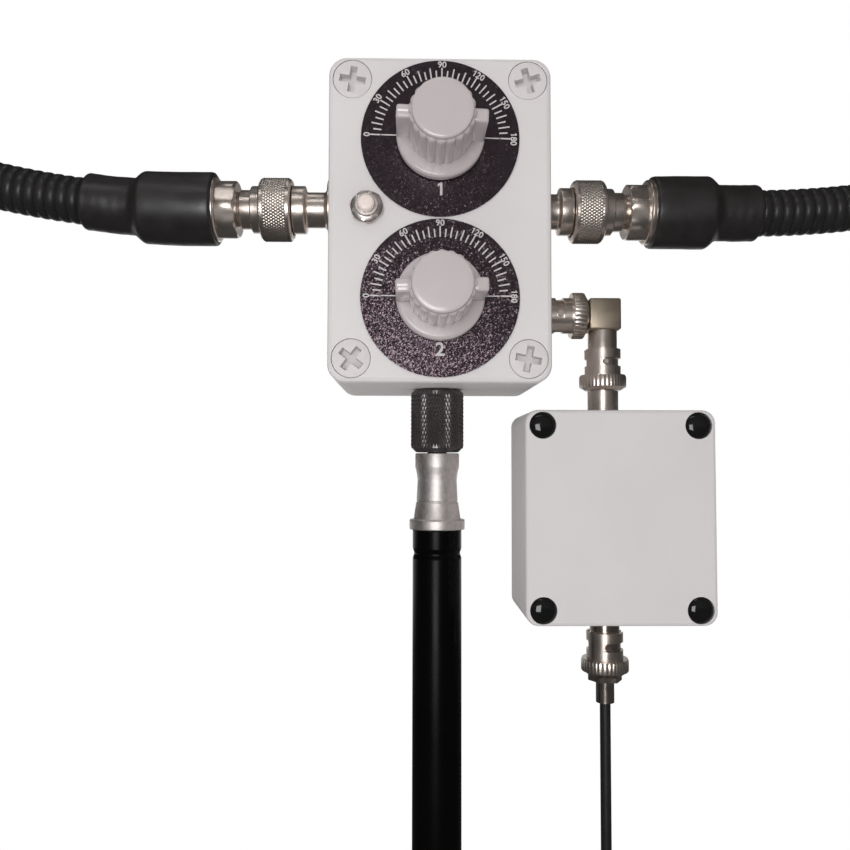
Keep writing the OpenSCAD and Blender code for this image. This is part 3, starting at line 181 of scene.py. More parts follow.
tube_low, tube_high = span("mast_tube")
tube_r = (tube_high.x - tube_low.x) / 2
tube_wall = 1.0
foot_ease, top_ease = 0.2, 0.3
groove_z = tube_high.z - 7.7
groove_deep, groove_half, groove_cuts = 0.45, 1.9, 8
gloss_black = finish("gloss_black_paint", (0.0016, 0.0015, 0.0015), 0.27, patch=14, size=0.9, relief=0.05,
                     drift=0.1, gloss=0.1)
outline = [(tube_r - tube_wall, 0.0), (tube_r - foot_ease, 0.0), (tube_r, foot_ease)]
for i in range(-groove_cuts, groove_cuts + 1):
    dip = 0.5 + 0.5 * math.cos(math.pi * i / groove_cuts)
    outline.append((tube_r - groove_deep * dip, groove_z + groove_half * i / groove_cuts))
outline += [(tube_r, tube_high.z - top_ease), (tube_r - top_ease, tube_high.z),
            (tube_r - tube_wall, tube_high.z), (tube_r - tube_wall, 0.0)]
shape("mast_tube_skin", turned(outline), gloss_black, "tuner", ["mast_tube"])

# Mast adapter: turned from aluminium bar, with a flange on the tube, a fine turned line,
# a slim waist and a screw on top. Its spigot is held in the tube by the rolled groove.
foot = tube_high.z
stud_top = span("mast_adapter")[1].z - foot
bare_metal = finish("turned_aluminium", (0.92, 0.87, 0.85), 0.5, metal=1.0, spread=0.22, patch=1.3,
                    relief=0.5, drift=0.1)
spigot = [(0.0, -18.0), (6.0, -18.0), (6.85, -17.2), (6.85, 0.02)]
flange = [(9.05, 0.02), (9.05, 3.2), (7.7, 3.3)]
waist = [(6.95, 8.4), (6.95, 8.75), (6.6, 8.75), (6.6, 9.1), (6.75, 9.3), (6.4, 16.0), (6.65, 18.0)]
stud = [(7.2, 20.4), (7.2, 24.8), (3.15, 24.8), (3.15, stud_top - 0.5), (2.7, stud_top), (0.0, stud_top)]
shape("mast_adapter_body",
      turned(eased(spigot + flange + waist + stud, 0.35), Matrix.Translation((0, 0, foot))),
      bare_metal, "tuner", ["mast_adapter"], sharp=60)

# Locking collar: a black anodised nut with a fine diamond knurl, rolled on, and turned ends.
# It runs on the adapter's screw and locks the mast against the box.


def joined(*forms):
    """Several closed forms as one list of points and faces."""
    points, faces = [], []
    for some_points, some_faces in forms:
        shift = len(points)
        points += list(some_points)
        faces += [[k + shift for k in face] for face in some_faces]
    return points, faces


def diamond_band(radius, deep, low, high, around, along, place=Matrix()):
    """A knurled band: rows of small pyramids, each this long, closed on the inside."""
    columns = 2 * around
    rows = 2 * round((high - low) / along)
    points, faces = [], []
    for j in range(-1, rows + 2):
        height = low + (high - low) * min(max(j, 0), rows) / rows
        for i in range(columns):
            if j in (-1, rows + 1):
                here = radius - 3 * deep
            elif 0 < j < rows and (i + j) % 2:
                here = radius
            else:
                here = radius - deep
            points.append(place @ polar(here, 2 * math.pi * i / columns, height))
    for j in range(rows + 2):
        for i in range(columns):
            a, b = j * columns + i, j * columns + (i + 1) % columns
            c, d = b + columns, a + columns
            if (i + j - 1) % 2:
                faces += [[a, b, d], [b, c, d]]
            else:
                faces += [[a, b, c], [a, c, d]]
    last = (rows + 2) * columns
    for i in range(columns):
        k = (i + 1) % columns
        faces.append([last + i, last + k, k, i])
    return points, faces


collar_low, collar_high = span("mast_collar")
collar_r = (collar_high.x - collar_low.x) / 2
collar_h = collar_high.z - collar_low.z
at_collar = Matrix.Translation((0, 0, collar_low.z))
black_knurl = finish("black_anodised_knurl", (0.034, 0.028, 0.029), 0.16, spread=0.2, patch=3, size=0.3,
                     relief=0.1, gloss=1.0)
collar_bore, core_r = 3.3, collar_r - 0.4
knurl_low, knurl_high = 1.3, collar_h - 0.6
core = [(collar_bore, 0.0), (core_r - 1.3, 0.0), (core_r, knurl_low), (core_r, knurl_high),
        (core_r - 0.5, collar_h), (collar_bore, collar_h), (collar_bore, 0.0)]
knurl = diamond_band(collar_r, 0.24, knurl_low, knurl_high, around=56, along=2.6, place=at_collar)
shape("lock_collar_knurl", joined(turned(eased(core), at_collar), knurl), black_knurl, "lock_collar",
      ["mast_collar"], sharp=12)

# Tuner case and lid: a stock moulded box of pale grey plastic with a rubber seal in its rim,
# drilled for the sockets. A brass insert in its floor takes the mast's screw.


def dress(look, *nodes):
    """Gives solids that already have their real shape a finish."""
    for node in nodes:
        solids[node].data.materials.clear()
        solids[node].data.materials.append(look)


moulded = dict(rough=0.5, spread=0.05, patch=22, size=0.35, relief=0.22, deep=0.03, drift=0.1)
shell_grey = finish("grey_moulding", (0.66, 0.637, 0.643), **moulded)
seal_rubber = finish("seal_rubber", (0.02, 0.02, 0.02), 0.7)
brass = finish("plain_brass", (0.72, 0.52, 0.25), 0.3, metal=1.0)
dress(shell_grey, "tuner_case", "tuner_lid")
dress(seal_rubber, "lid_gasket")
dress(brass, "mast_insert")

# Lid screws: big flat heads with a deep cross, moulded in plastic to match the lid,
# sunk in round wells at its four corners.
screw_grey = finish("grey_screw", (0.63, 0.60, 0.61), 0.48, spread=0.06, patch=5, size=0.3,
                    relief=0.25, deep=0.03)
FACE = Matrix.Rotation(math.radians(90), 4, "X")


def spin(degrees):
    """A turn about local Z."""
    return Matrix.Rotation(math.radians(degrees), 4, "Z")


def bridged(rows, columns, closed=False):
    """Faces between rows of points in rings; closed joins the last row to the first."""
    faces = []
    for j in range(rows if closed else rows - 1):
        up = (j + 1) % rows
        for i in range(columns):
            k = (i + 1) % columns
            faces.append([j * columns + i, j * columns + k, up * columns + k, up * columns + i])
    return faces


def crossed_head(radius, thick, arm, half, deep, place):
    """A flat screw head with a cross sunk in its face, which looks along local Z."""
    steps = 48
    levels = [(radius - 0.25, 0.0), (radius - 0.07, -0.07), (radius, -0.25), (radius, -thick)]
    points = [polar(ring, 2 * math.pi * i / steps, height) for ring, height in levels for i in range(steps)]
    faces = bridged(len(levels), steps)
    faces.append([(len(levels) - 1) * steps + i for i in range(steps)])
    quarter = [(arm, -half), (arm, half), (half, half)]
    cross = [spin(90 * i) @ Vector((x, y, 0)) for i in range(4) for x, y in quarter]
    shift = len(points)
    n = len(cross)
    taper = 0.86
    points += cross + [taper * c - Vector((0, 0, deep)) for c in cross]
    face_at = list(range(steps)) + list(range(shift, shift + n))
    faces += [[face_at[k] for k in t] for t in geometry.tessellate_polygon([points[:steps], cross])]
    faces += [[shift + i, shift + (i + 1) % n, shift + n + (i + 1) % n, shift + n + i] for i in range(n)]
    faces += [[shift + n + k for k in t] for t in geometry.tessellate_polygon([points[shift + n:]])]
    return [place @ p for p in points], faces


low, high = span("lid_screws")
head_r, shank_r = 5.9, 2.5
shank_low, shank_top = low.y - high.y, -3.2
shank = [(0.0, shank_low), (shank_r, shank_low), (shank_r, shank_top), (0.0, shank_top)]
heads = []
for x, z, turn in ((low.x + head_r, low.z + head_r, 38), (high.x - head_r, low.z + head_r, 11),
                   (low.x + head_r, high.z - head_r, 8), (high.x - head_r, high.z - head_r, -17)):
    at_head = Matrix.Translation((x, low.y, z)) @ FACE @ spin(-turn)
    heads += [crossed_head(head_r - 0.03, thick=3.5, arm=4.0, half=1.1, deep=2.7, place=at_head),
              turned(shank, at_head, 24)]
shape("lid_screw_heads", joined(*heads), screw_grey, "tuner", ["lid_screws"], sharp=30)

# Dial plates: thin black discs with a coarse sparkling grain, stuck on the lid.
# The half-circle scale, its numbers and the knob's number are printed on in white.
dial_black = finish("grained_black_dial", (0.0105, 0.0085, 0.011), 0.2, spread=0.5, patch=0.7, gloss=1.0)
flake_sizes, flake_tilt = (0.3, 0.41), 0.17
tree = dial_black.node_tree
where = put(tree, "TexCoord", {}).outputs["Object"]
cells = [put(tree, "TexVoronoi", {"Vector": where, "Scale": 1 / (size * MM)}).outputs["Color"]
         for size in flake_sizes]
both = put(tree, "VectorMath", {0: cells[0], 1: cells[1]}, operation="ADD").outputs[0]
tilt = put(tree, "VectorMath", {0: both, 1: (flake_tilt,) * 3, 2: (-flake_tilt,) * 3},
           operation="MULTIPLY_ADD").outputs[0]
normal = put(tree, "NewGeometry", {}).outputs["Normal"]
flake = put(tree, "VectorMath", {0: normal, 1: tilt}, operation="ADD").outputs[0]
flake = put(tree, "VectorMath", {0: flake}, operation="NORMALIZE").outputs[0]
shader = tree.nodes["Principled BSDF"]
shader.inputs["Specular Tint"].default_value = (1.0, 0.76, 0.86, 1.0)
tree.links.new(flake, shader.inputs["Normal"])
print_white = finish("white_print", (0.55, 0.53, 0.53), 0.5, spread=0.2, patch=0.8, size=0.4, relief=0.2)
dress(dial_black, "dial_plate_a", "dial_plate_b")
ink_half = 0.03


def plate(outline, thick):
    """A flat plate: an outline with straight sides, centred on its thickness."""
    n = len(outline)
    points = [(x, y, z) for z in (-thick / 2, thick / 2) for x, y in outline]
    sides = [[i, (i + 1) % n, n + (i + 1) % n, n + i] for i in range(n)]
    return points, [list(range(n))[::-1], list(range(n, 2 * n))] + sides


def figures(body, tall):
    """Printed figures as thin plates, evenly spaced and centred, their height in millimetres."""
    forms = []
    for k, figure in enumerate(body):
        across = 0.74 * tall * (k - (len(body) - 1) / 2)
        if figure == "1":
            stem = [(0.17, -0.5), (0.17, 0.5), (0.03, 0.5), (-0.2, 0.34), (-0.2, 0.17), (-0.02, 0.27),
                    (-0.02, -0.5)]
            forms.append(plate([(tall * x + across, tall * y) for x, y in stem], 2 * ink_half))
            continue
        words = bpy.data.curves.new("figures", "FONT")
        words.body = figure
        words.size = tall / 0.69
        words.extrude = ink_half
        words.offset = 0.03 * tall
        words.resolution_u = 3
        carrier = bpy.data.objects.new("figures", words)
        bpy.context.scene.collection.objects.link(carrier)
        bpy.context.view_layer.update()
        settled = carrier.evaluated_get(bpy.context.evaluated_depsgraph_get())
        mesh = bpy.data.meshes.new_from_object(settled)
        wide = [v.co.x for v in mesh.vertices]
        high = [v.co.y for v in mesh.vertices]
        centre = Vector(((max(wide) + min(wide)) / 2 - across, (max(high) + min(high)) / 2, 0))
        forms.append(([v.co - centre for v in mesh.vertices], [list(f.vertices) for f in mesh.polygons]))
        bpy.data.meshes.remove(mesh)
        bpy.data.objects.remove(carrier)
        bpy.data.curves.remove(words)
    return joined(*forms)


def moved(form, place):
    """The form carried to its place."""
    return [place @ Vector(p) for p in form[0]], form[1]


def bar(x0, x1, y0, y1, z0, z1):
    """A plain bar between two corners."""
    points = [(x, y, z) for z in (z0, z1) for y in (y0, y1) for x in (x0, x1)]
    faces = [[0, 2, 3, 1], [4, 5, 7, 6], [0, 1, 5, 4], [2, 6, 7, 3], [0, 4, 6, 2], [1, 3, 7, 5]]
    return points, faces


def printed_line(start, stop, half, place):
    """A printed line along local X, given as shares of the dial's radius."""
    return moved(bar(start * dial_r, stop * dial_r, -half, half, -ink_half, ink_half), place)


tick_in, short_tick, long_tick, tick_half = 0.745, 0.85, 0.885, 0.21
base_in, base_out, base_half = 0.5, 0.76, 0.18
value_at, value_tall = 0.928, 1.85
scale_up, number_down, number_tall = 0.5, 15.6, 4.0
for name, number, lean in (("a", "1", 1.4), ("b", "2", 0.0)):
    low, high = span("dial_plate_" + name)
    dial_r = (high.x - low.x) / 2
    middle = (low + high) / 2
    on_dial = Matrix.Translation((middle.x, low.y - ink_half, middle.z + scale_up)) @ FACE @ spin(-lean)
    marks = []
    for value in range(0, 181, 5):
        spoke = on_dial @ spin(180 - value)
        marks.append(printed_line(tick_in, short_tick if value % 10 else long_tick, tick_half, spoke))
        if value % 30 == 0:
            upright = spoke @ Matrix.Translation((value_at * dial_r, 0, 0)) @ spin(-90)
            marks.append(moved(figures(str(value), value_tall), upright))
        if value % 180 == 0:
            marks.append(printed_line(base_in, base_out, base_half, spoke))
    under = Matrix.Translation((middle.x, low.y - ink_half, middle.z - number_down)) @ FACE
    marks.append(moved(figures(number, number_tall), under))
    shape("dial_print_" + name, joined(*marks), print_white, "tuner")

# Tuning capacitors: two air-spaced plate stacks in steel-pillared frames behind the lid,
# each held by its threaded bush and nut under the knob.
plate_metal = finish("plate_aluminium", (0.78, 0.78, 0.77), 0.38, metal=1.0)
plain_steel = finish("plain_steel", (0.56, 0.55, 0.54), 0.32, metal=1.0)
for name in ("a", "b"):
    dress(plate_metal, *("capacitor_" + name + part for part in ("_frame", "_stator", "_rotor")))
dress(plain_steel, "capacitor_nuts")

# Tuning knobs: moulded grey plastic, a low skirt, a grip of rounded lobes under a smooth round
# cap, and two wings, one with a white pointer line. A set screw holds each on its shaft.
knob_grey = finish("grey_knob", (0.50, 0.456, 0.466), 0.2, spread=0.02, patch=7, size=0.4, deep=0.03,
                   gloss=0.8)
pointer_white = finish("white_pointer_line", (0.86, 0.83, 0.83), 0.4, spread=0.05, size=0.4)
dress(plain_steel, "knob_a_screw", "knob_b_screw")
skirt_r, skirt_in, grip_r, cap_r, knob_h = 13.3, 8.3, 9.6, 8.68, 21.4
lobes, lobe_deep, lobe_points = 20, 0.6, 14
wing_half, wing_low, wing_top, wing_in, wing_out = 2.0, 2.4, 17.6, 7.5, skirt_r - 0.15


def from_back(low, high):
    """Local Z runs to the front, from the middle of a piece's back."""
    return Matrix.Translation(((low.x + high.x) / 2, high.y, (low.z + high.z) / 2)) @ FACE


def rounded_bar(x0, x1, y0, y1, z0, z1, ease, cuts=3):
    """A bar with all its edges rounded."""
    work = bmesh.new()
    bmesh.ops.create_cube(work, size=1.0)
    for v in work.verts:
        v.co = Vector((x0 if v.co.x < 0 else x1, y0 if v.co.y < 0 else y1, z0 if v.co.z < 0 else z1))
    bmesh.ops.bevel(work, geom=list(work.edges), offset=ease, segments=cuts, profile=0.5,
                    affect="EDGES")
    work.verts.index_update()
    form = [v.co.copy() for v in work.verts], [[v.index for v in f.verts] for f in work.faces]
    work.free()
    return form


def lobed_grip(place):
    """The grip and its cap: rounded lobes that end in a scalloped shoulder round the cap."""
    steps = lobes * lobe_points
    levels = [(2.6, grip_r, 1.0), (18.3, grip_r, 1.0), (18.9, grip_r - 0.06, 0.98),
              (19.4, grip_r - 0.24, 0.9), (19.7, grip_r - 0.48, 0.7), (19.82, cap_r + 0.1, 0.1),
              (19.6, cap_r, 0.0)]
    levels += [(knob_h - down, cap_r - inward, 0.0) for down, inward in (
        (0.62, 0.0), (0.42, 0.05), (0.27, 0.17), (0.17, 0.37), (0.09, 0.68), (0.03, 1.15), (0.0, 1.7))]
    points = []
    for height, radius, cut in levels:
        for i in range(steps):
            off = (i / lobe_points + 0.5) % 1.0 - 0.5
            here = radius - cut * lobe_deep * (1 - math.cos(math.pi * off) ** 0.8)
            points.append(place @ polar(here, 2 * math.pi * i / steps, height))
    faces = bridged(len(levels), steps)
    faces.append(list(range(steps))[::-1])
    faces.append([(len(levels) - 1) * steps + i for i in range(steps)])
    return points, faces


for name, lean in (("a", 2.8), ("b", -1.2)):
    at_knob = from_back(*span("knob_" + name)) @ spin(-lean)
    skirt = [(skirt_in, 0.0), (skirt_r - 0.2, 0.0), (skirt_r, 0.2), (skirt_r, 2.3), (skirt_r - 0.7, 3.0),
             (skirt_in, 3.0), (skirt_in, 0.0)]
    wings = [moved(rounded_bar(x0, x1, -wing_half, wing_half, wing_low, wing_top, 0.75), at_knob)
             for x0, x1 in ((-wing_out, -wing_in), (wing_in, wing_out))]
    shape("knob_" + name + "_moulding",
          joined(turned(eased(skirt, 0.5), at_knob, 96), lobed_grip(at_knob), *wings),
          knob_grey, "tune_" + name, ["knob_" + name], sharp=32)
    pointer = bar(-wing_out + 0.5, -grip_r - 0.1, -0.3, 0.3, wing_top - 0.05, wing_top + 0.05)
    shape("knob_" + name + "_pointer_line", moved(pointer, at_knob), pointer_white, "tune_" + name)

# Push button: a small panel switch, its plated bush locked by a hexagon nut from outside,
# with an ivory cap that springs back.
switch_steel = finish("switch_plate", (0.84, 0.77, 0.73), 0.33, metal=1.0, spread=0.06, relief=0.05)
button_ivory = finish("ivory_button", (0.78, 0.68, 0.64), 0.25, spread=0.04, size=0.6, relief=0.05,
                      coat=0.2)
dress(switch_steel, "switch_body")


def flat_sided(sides, flats, low, high, bore, turn, place, chamfer=0.8, dome=0.0):
    """A bored nut with flat sides, its corners turned off and its two ends turned to a cone."""
    steps = 12 * sides
    half = math.pi / sides
    flat = flats / 2
    corner = min(flat / math.cos(half), flat + 0.42)
    levels = [(low, bore), (low, flat - 0.25), (low + 0.3 * chamfer, flat + 0.1), (low + chamfer, corner),
              (high - chamfer, corner), (high - 0.3 * chamfer, flat + 0.1), (high, flat - 0.25),
              (high + dome, bore)]
    points = []
    for height, limit in levels:
        for i in range(steps):
            angle = 2 * math.pi * i / steps
            here = min(flat / math.cos(angle % (2 * half) - half), limit)
            points.append(place @ polar(here, angle + turn, height))
    return points, bridged(len(levels), steps, closed=True)


low, high = span("switch_nut")
hexagon = flat_sided(6, 9.6, 0.0, high.y - low.y, 3.4, math.radians(-14), from_back(low, high),
                     chamfer=1.0, dome=0.35)
shape("switch_hexagon", hexagon, switch_steel, "tuner", ["switch_nut"], sharp=25)
low, high = span("switch_button")
button_r = (high.x - low.x) / 2
button_long = high.y - low.y
cap = [(0.0, 0.0), (button_r, 0.0), (button_r, button_long - 0.7), (button_r - 0.5, button_long - 0.12),
       (button_r - 1.4, button_long), (0.0, button_long)]
shape("button_cap", turned(eased(cap, 0.4), from_back(low, high), 40), button_ivory, "button",
      ["switch_button"], sharp=50)

# Loop sockets: turned brass with satin nickel plate, one each side of the box, with a round
# flange, a slim neck and a shoulder that the coupling nut closes on. Nuts hold them inside.
plated = dict(metal=1.0, patch=4, size=0.4, relief=0.12)
nickel = finish("satin_nickel", (0.78, 0.695, 0.63), 0.31, spread=0.1, drift=0.1, **plated)
dress(nickel, "n_jack_nuts")
side_x = span("tuner_case")[1].x
plug_z = 407.6
reach = {"left": 14.0, "right": 10.8}
SIDE = {"left": -1, "right": 1}


def from_wall(side):
    """Local Z runs out of the box's side wall, along the plug."""
    s = SIDE[side]
    return Matrix.Translation((s * side_x, 0, plug_z)) @ Matrix.Rotation(s * math.radians(90), 4, "Y")


for side in SIDE:
    far = reach[side]
    socket = [(0.0, -7.4), (6.5, -7.4), (6.5, 0.02), (10.0, 0.02), (10.0, 2.0), (7.0, 2.3), (5.8, 3.2),
              (5.8, far - 5.0), (6.2, far - 4.5), (7.8, far - 4.3), (7.8, far - 0.1), (6.6, far + 0.05),
              (6.6, far + 2.0), (0.0, far + 2.0)]
    shape("loop_socket_" + side, turned(eased(socket, 0.3), from_wall(side)), nickel, "tuner",
          ["n_jack_" + side], sharp=45)

# Coupling nuts: nickel-plated, with a diamond knurl to grip and a plain ring behind.
# Each screws the loop's plug to its socket and turns freely on the plug's neck.
for side in SIDE:
    far = reach[side]
    hub = [(6.55, far + 8.9), (6.55, far + 13.4), (7.45, far + 13.4), (7.7, far + 13.1), (7.7, far + 10.4),
           (9.4, far + 10.4), (9.9, far + 9.9), (9.9, far + 0.5), (9.4, far), (8.2, far), (8.2, far + 8.9),
           (6.55, far + 8.9)]
    knurl = diamond_band(10.4, 0.38, far + 0.5, far + 9.9, around=58, along=1.57, place=from_wall(side))
    shape("coupling_knurl_" + side, joined(turned(eased(hub, 0.2), from_wall(side)), knurl), nickel,
          side + "_nut", ["coupling_nut_" + side], sharp=70)

# Loop plugs: nickel-plated bodies with a slim neck, a groove and an eight-sided clamp nut.
# The clamp's barrel grips the cable's copper and is hidden under the shrunk sleeve.
for side in SIDE:
    far = reach[side] + 18.0
    neck = [(0.0, far - 10.0), (6.4, far - 10.0), (6.4, far - 1.1), (5.7, far - 0.9), (5.7, far + 0.4),
            (0.0, far + 0.4)]
    barrel = [(8.65, far + 8.0), (10.7, far + 8.0), (10.7, far + 26.2), (8.65, far + 26.2),
              (8.65, far + 8.0)]
    flange = [(5.6, far + 6.4), (10.2, far + 6.4), (10.6, far + 6.8), (10.6, far + 8.2), (5.6, far + 8.2),
              (5.6, far + 6.4)]
    turn = math.radians(40.5 if side == "left" else 42)
    shape("loop_plug_" + side,
          joined(turned(eased(neck, 0.25), from_wall(side)),
                 flat_sided(8, 18.0, far, far + 6.8, 5.6, turn, from_wall(side)),
                 turned(eased(flange, 0.2), from_wall(side)),
                 turned(barrel, from_wall(side))),
          nickel, "tuner", ["n_plug_" + side], sharp=30)

# Heat-shrink sleeves: black glue-lined tubing, shrunk with hot air over each clamp barrel
# and down on the cable, so it is a little lumpy with a soft taper.
cable_low, cable_high = span("loop_cable")
rib_r, rib_step = 7.7, 3.5
low_r = 305.0
top_r = (cable_high.x - cable_low.x) / 2 - rib_r
loop_x = (cable_high.x + cable_low.x) / 2
bend = {"left": top_r - low_r - loop_x, "right": top_r - low_r + loop_x}


def plug_line(side, out):
    """Point and direction on the cable's line at a distance from the box's middle."""
    s = SIDE[side]
    if out < bend[side]:
        return Vector((s * out, 0, plug_z)), Vector((s, 0, 0))
    lift = (out - bend[side]) / low_r
    spot = Vector((s * (bend[side] + low_r * math.sin(lift)), 0, plug_z + low_r * (1 - math.cos(lift))))
    return spot, Vector((s * math.cos(lift), 0, math.sin(lift)))


def sleeve(line, sides, lump=None):
    """A tube through (point, direction, radius) stations, closed end to end."""
    points = []
    for spot, ahead, radius in line:
        across = Vector((0, 1, 0)) - ahead * ahead.y
        across.normalize()
        rise = ahead.cross(across)
        for i in range(sides):
            turn = 2 * math.pi * i / sides
            out = across * math.cos(turn) + rise * math.sin(turn)
            here = radius + (lump(spot + out * radius) if lump else 0.0)
            points.append(spot + out * here)
    return points, bridged(len(line), sides)


def soft_lump(spot):
    """How far shrunk tubing stands out or in at a place."""
    return 0.2 * noise.noise(spot / 8.0) + 0.06 * noise.noise(spot / 2.6 + Vector((9, 4, 1)))


shrink_black = finish("shrink_sleeve", (0.014, 0.0115, 0.0115), 0.42, spread=0.25, patch=5, size=0.8,
                      relief=0.3, deep=0.06, drift=0.2, gloss=0.8)
over_clamp, clamp_in, over_cable, cable_in = 11.9, 10.75, 9.25, 8.15
taper_r, taper_long = 9.3, 4.6
for side, back, wide, narrow in (("left", 25.2, 24.8, 15.0), ("right", 26.2, 20.4, 12.4)):
    start = side_x + reach[side] + back
    end = wide + 3 + narrow
    stations = [(0.0, clamp_in), (0.0, 11.3), (0.35, 11.75), (1.0, over_clamp)]
    stations += [(1.0 + (wide - 3.2) * i / 8, over_clamp) for i in range(1, 9)]
    for i in range(1, 13):
        left = 0.5 + 0.5 * math.cos(math.pi * i / 12)
        stations.append((wide - 2.2 + taper_long * i / 12, taper_r + (over_clamp - taper_r) * left))
    for i in range(1, 25):
        out = wide + 2.4 + (end - wide - 3.2) * i / 24
        stations.append((out, over_cable + 0.02 * math.cos(2 * math.pi * out / rib_step)))
    stations += [(end - 0.3, 9.1), (end, 8.6), (end, cable_in), (wide + 4.0, cable_in),
                 (wide - 3.0, clamp_in), (0.0, clamp_in)]
    line = [(*plug_line(side, start + out), radius) for out, radius in stations]
    shape("shrink_sleeve_" + side, sleeve(line, 64, soft_lump), shrink_black, "tuner",
          ["heat_shrink_" + side], sharp=50)

# Loop cable: stiff corrugated coaxial cable bent to a ring of about 0.8 m, black jacket
# over ribs 3.5 mm apart. Its copper tube runs inside from plug to plug, and copper straps
# lead on from the sockets in the box.
jacket_black = finish("jacket_black", (0.015, 0.014, 0.014), 0.38, spread=0.25, patch=6, relief=0.2,
                      drift=0.2)
low_len = math.pi / 2 * low_r
top_len = math.pi * top_r
cable_back = 30.2
lead_in = bend["right"] - (side_x + reach["right"] + cable_back)
loop_len = 2 * low_len + top_len + lead_in


def loop_line(run):
    """Point and direction on the loop's centre line, from the left plug over the top."""
    if run < low_len:
        turn = run / low_r
        spot = (-bend["left"] - low_r * math.sin(turn), plug_z + low_r * (1 - math.cos(turn)))
        ahead = (-math.cos(turn), math.sin(turn))
    elif run < low_len + top_len:
        turn = (run - low_len) / top_r
        spot = (loop_x - top_r * math.cos(turn), plug_z + low_r + top_r * math.sin(turn))
        ahead = (math.sin(turn), math.cos(turn))
    elif run < 2 * low_len + top_len:
        turn = (run - low_len - top_len) / low_r
        spot = (bend["right"] + low_r * math.cos(turn), plug_z + low_r * (1 - math.sin(turn)))
        ahead = (-math.sin(turn), -math.cos(turn))
    else:
        spot = (bend["right"] - (run - 2 * low_len - top_len), plug_z)
        ahead = (-1.0, 0.0)
    return Vector((spot[0], 0, spot[1])), Vector((ahead[0], 0, ahead[1]))


jacket_in, valley_r = 6.0, 7.0
rib = [(0.0, valley_r), (0.1, 7.32), (0.25, 7.6), (0.5, rib_r), (0.75, 7.6), (0.9, 7.32)]
ribs = int(loop_len / rib_step)
line = [(*loop_line(0.0), jacket_in)]
for i in range(ribs):
    line += [(*loop_line((i + part) * loop_len / ribs), radius) for part, radius in rib]
line += [(*loop_line(loop_len), valley_r), (*loop_line(loop_len), jacket_in)]
inside_steps = 240
inside = [(*loop_line(loop_len * (1 - i / inside_steps)), jacket_in) for i in range(inside_steps + 1)]
shape("loop_jacket", sleeve(line + inside, 28), jacket_black, "tuner", ["loop_cable"], sharp=70)
copper = finish("plain_copper", (0.72, 0.38, 0.22), 0.3, metal=1.0)
dress(copper, "loop_conductor", "loop_straps")

# Coupling ring: a dark ferrite ring inside the box that the loop's inner wire passes through,
# with a few turns of enamelled wire that feed the lower socket.
ferrite = finish("grey_ferrite", (0.06, 0.06, 0.065), 0.55, spread=0.2, size=0.4, relief=0.4)
dress(ferrite, "coupling_core")
dress(copper, "coupling_winding")

# Lower socket and elbow: a bayonet socket in the box's right wall and a right-angle adapter of
# plated brass, a rougher square block, its nickel painted darker as painted shade, with a lugged
# barrel below. A knurled sleeve with bent slots turns to lock it on the socket; the choke box and
# the feed plug have the same sleeve.
dress(nickel, "bnc_panel_jack", "bnc_panel_nut")
# A rougher, darker copy of the satin nickel for the elbow's block: the darker colour is painted shade for
# the dim reflections in its flat faces.
nickel_painted_darker = finish("nickel_painted_darker", (0.5, 0.425, 0.335), 0.42, spread=0.12, **plated)
elbow_x, bnc_z, bnc_out = 54.9, 372.6, 44.4
block_half = 5.2
barrel_low, feed_low = 352.7, 260.2
barrel_back = bnc_z - block_half - barrel_low + 0.5
into_box = Matrix.Translation((bnc_out, 0, bnc_z)) @ Matrix.Rotation(math.radians(90), 4, "Y")
down_barrel, down_feed = (Matrix.Translation((elbow_x, 0, z)) @ Matrix.Rotation(math.pi, 4, "X")
                          for z in (barrel_low, feed_low))
nose = [(0.0, -8.0), (3.5, -8.0), (3.9, -7.6), (3.9, -0.3), (3.4, 0.0), (3.4, 5.6), (0.0, 5.6)]
barrel = [(0.0, -barrel_back), (4.75, -barrel_back), (4.75, -0.3), (4.5, 0.0), (4.05, 0.0), (4.05, -8.6),
          (0.0, -8.6)]
pin = [(0.0, 4.4), (1.0, 4.4), (1.0, 5.4), (0.8, 5.6), (0.0, 5.6)]
at_pin = down_barrel @ Matrix.Translation((0, 0, -4.2))
block = rounded_bar(elbow_x - block_half, elbow_x + block_half, -block_half, block_half,
                    bnc_z - block_half, bnc_z + block_half, 0.7)
lugs = [turned(pin, at_pin @ Matrix.Rotation(math.radians(way), 4, "X"), 20) for way in (90, -90)]
shape("elbow_block", joined(block, turned(nose, into_box, 40)), nickel_painted_darker, "elbow",
      ["elbow_body"], sharp=40)
shape("elbow_barrel", joined(turned(eased(barrel, 0.15), down_barrel, 56), *lugs), nickel, "elbow",
      sharp=40)


def toothed(radius, deep, low, high, teeth, place):
    """A straight-knurled band with chamfered ends, closed on the inside."""
    columns = 2 * teeth
    chamfer = 0.35
    inner = radius - 3 * deep
    root = radius - deep
    levels = [(low, inner, inner), (low, root, root), (low + chamfer, root, radius),
              (high - chamfer, root, radius), (high, root, root), (high, inner, inner)]
    points = [place @ polar(crest if i % 2 else valley, 2 * math.pi * i / columns, height)
              for height, valley, crest in levels for i in range(columns)]
    return points, bridged(len(levels), columns, closed=True)


for name, place in (("elbow", into_box), ("choke", down_barrel), ("feed", down_feed)):
    dress(nickel, name + "_sleeve")
    grip = toothed(7.65, 0.24, low=0.2, high=4.1, teeth=42, place=place)
    shape(name + "_sleeve_grip", grip, nickel, name + "_ring", sharp=25)

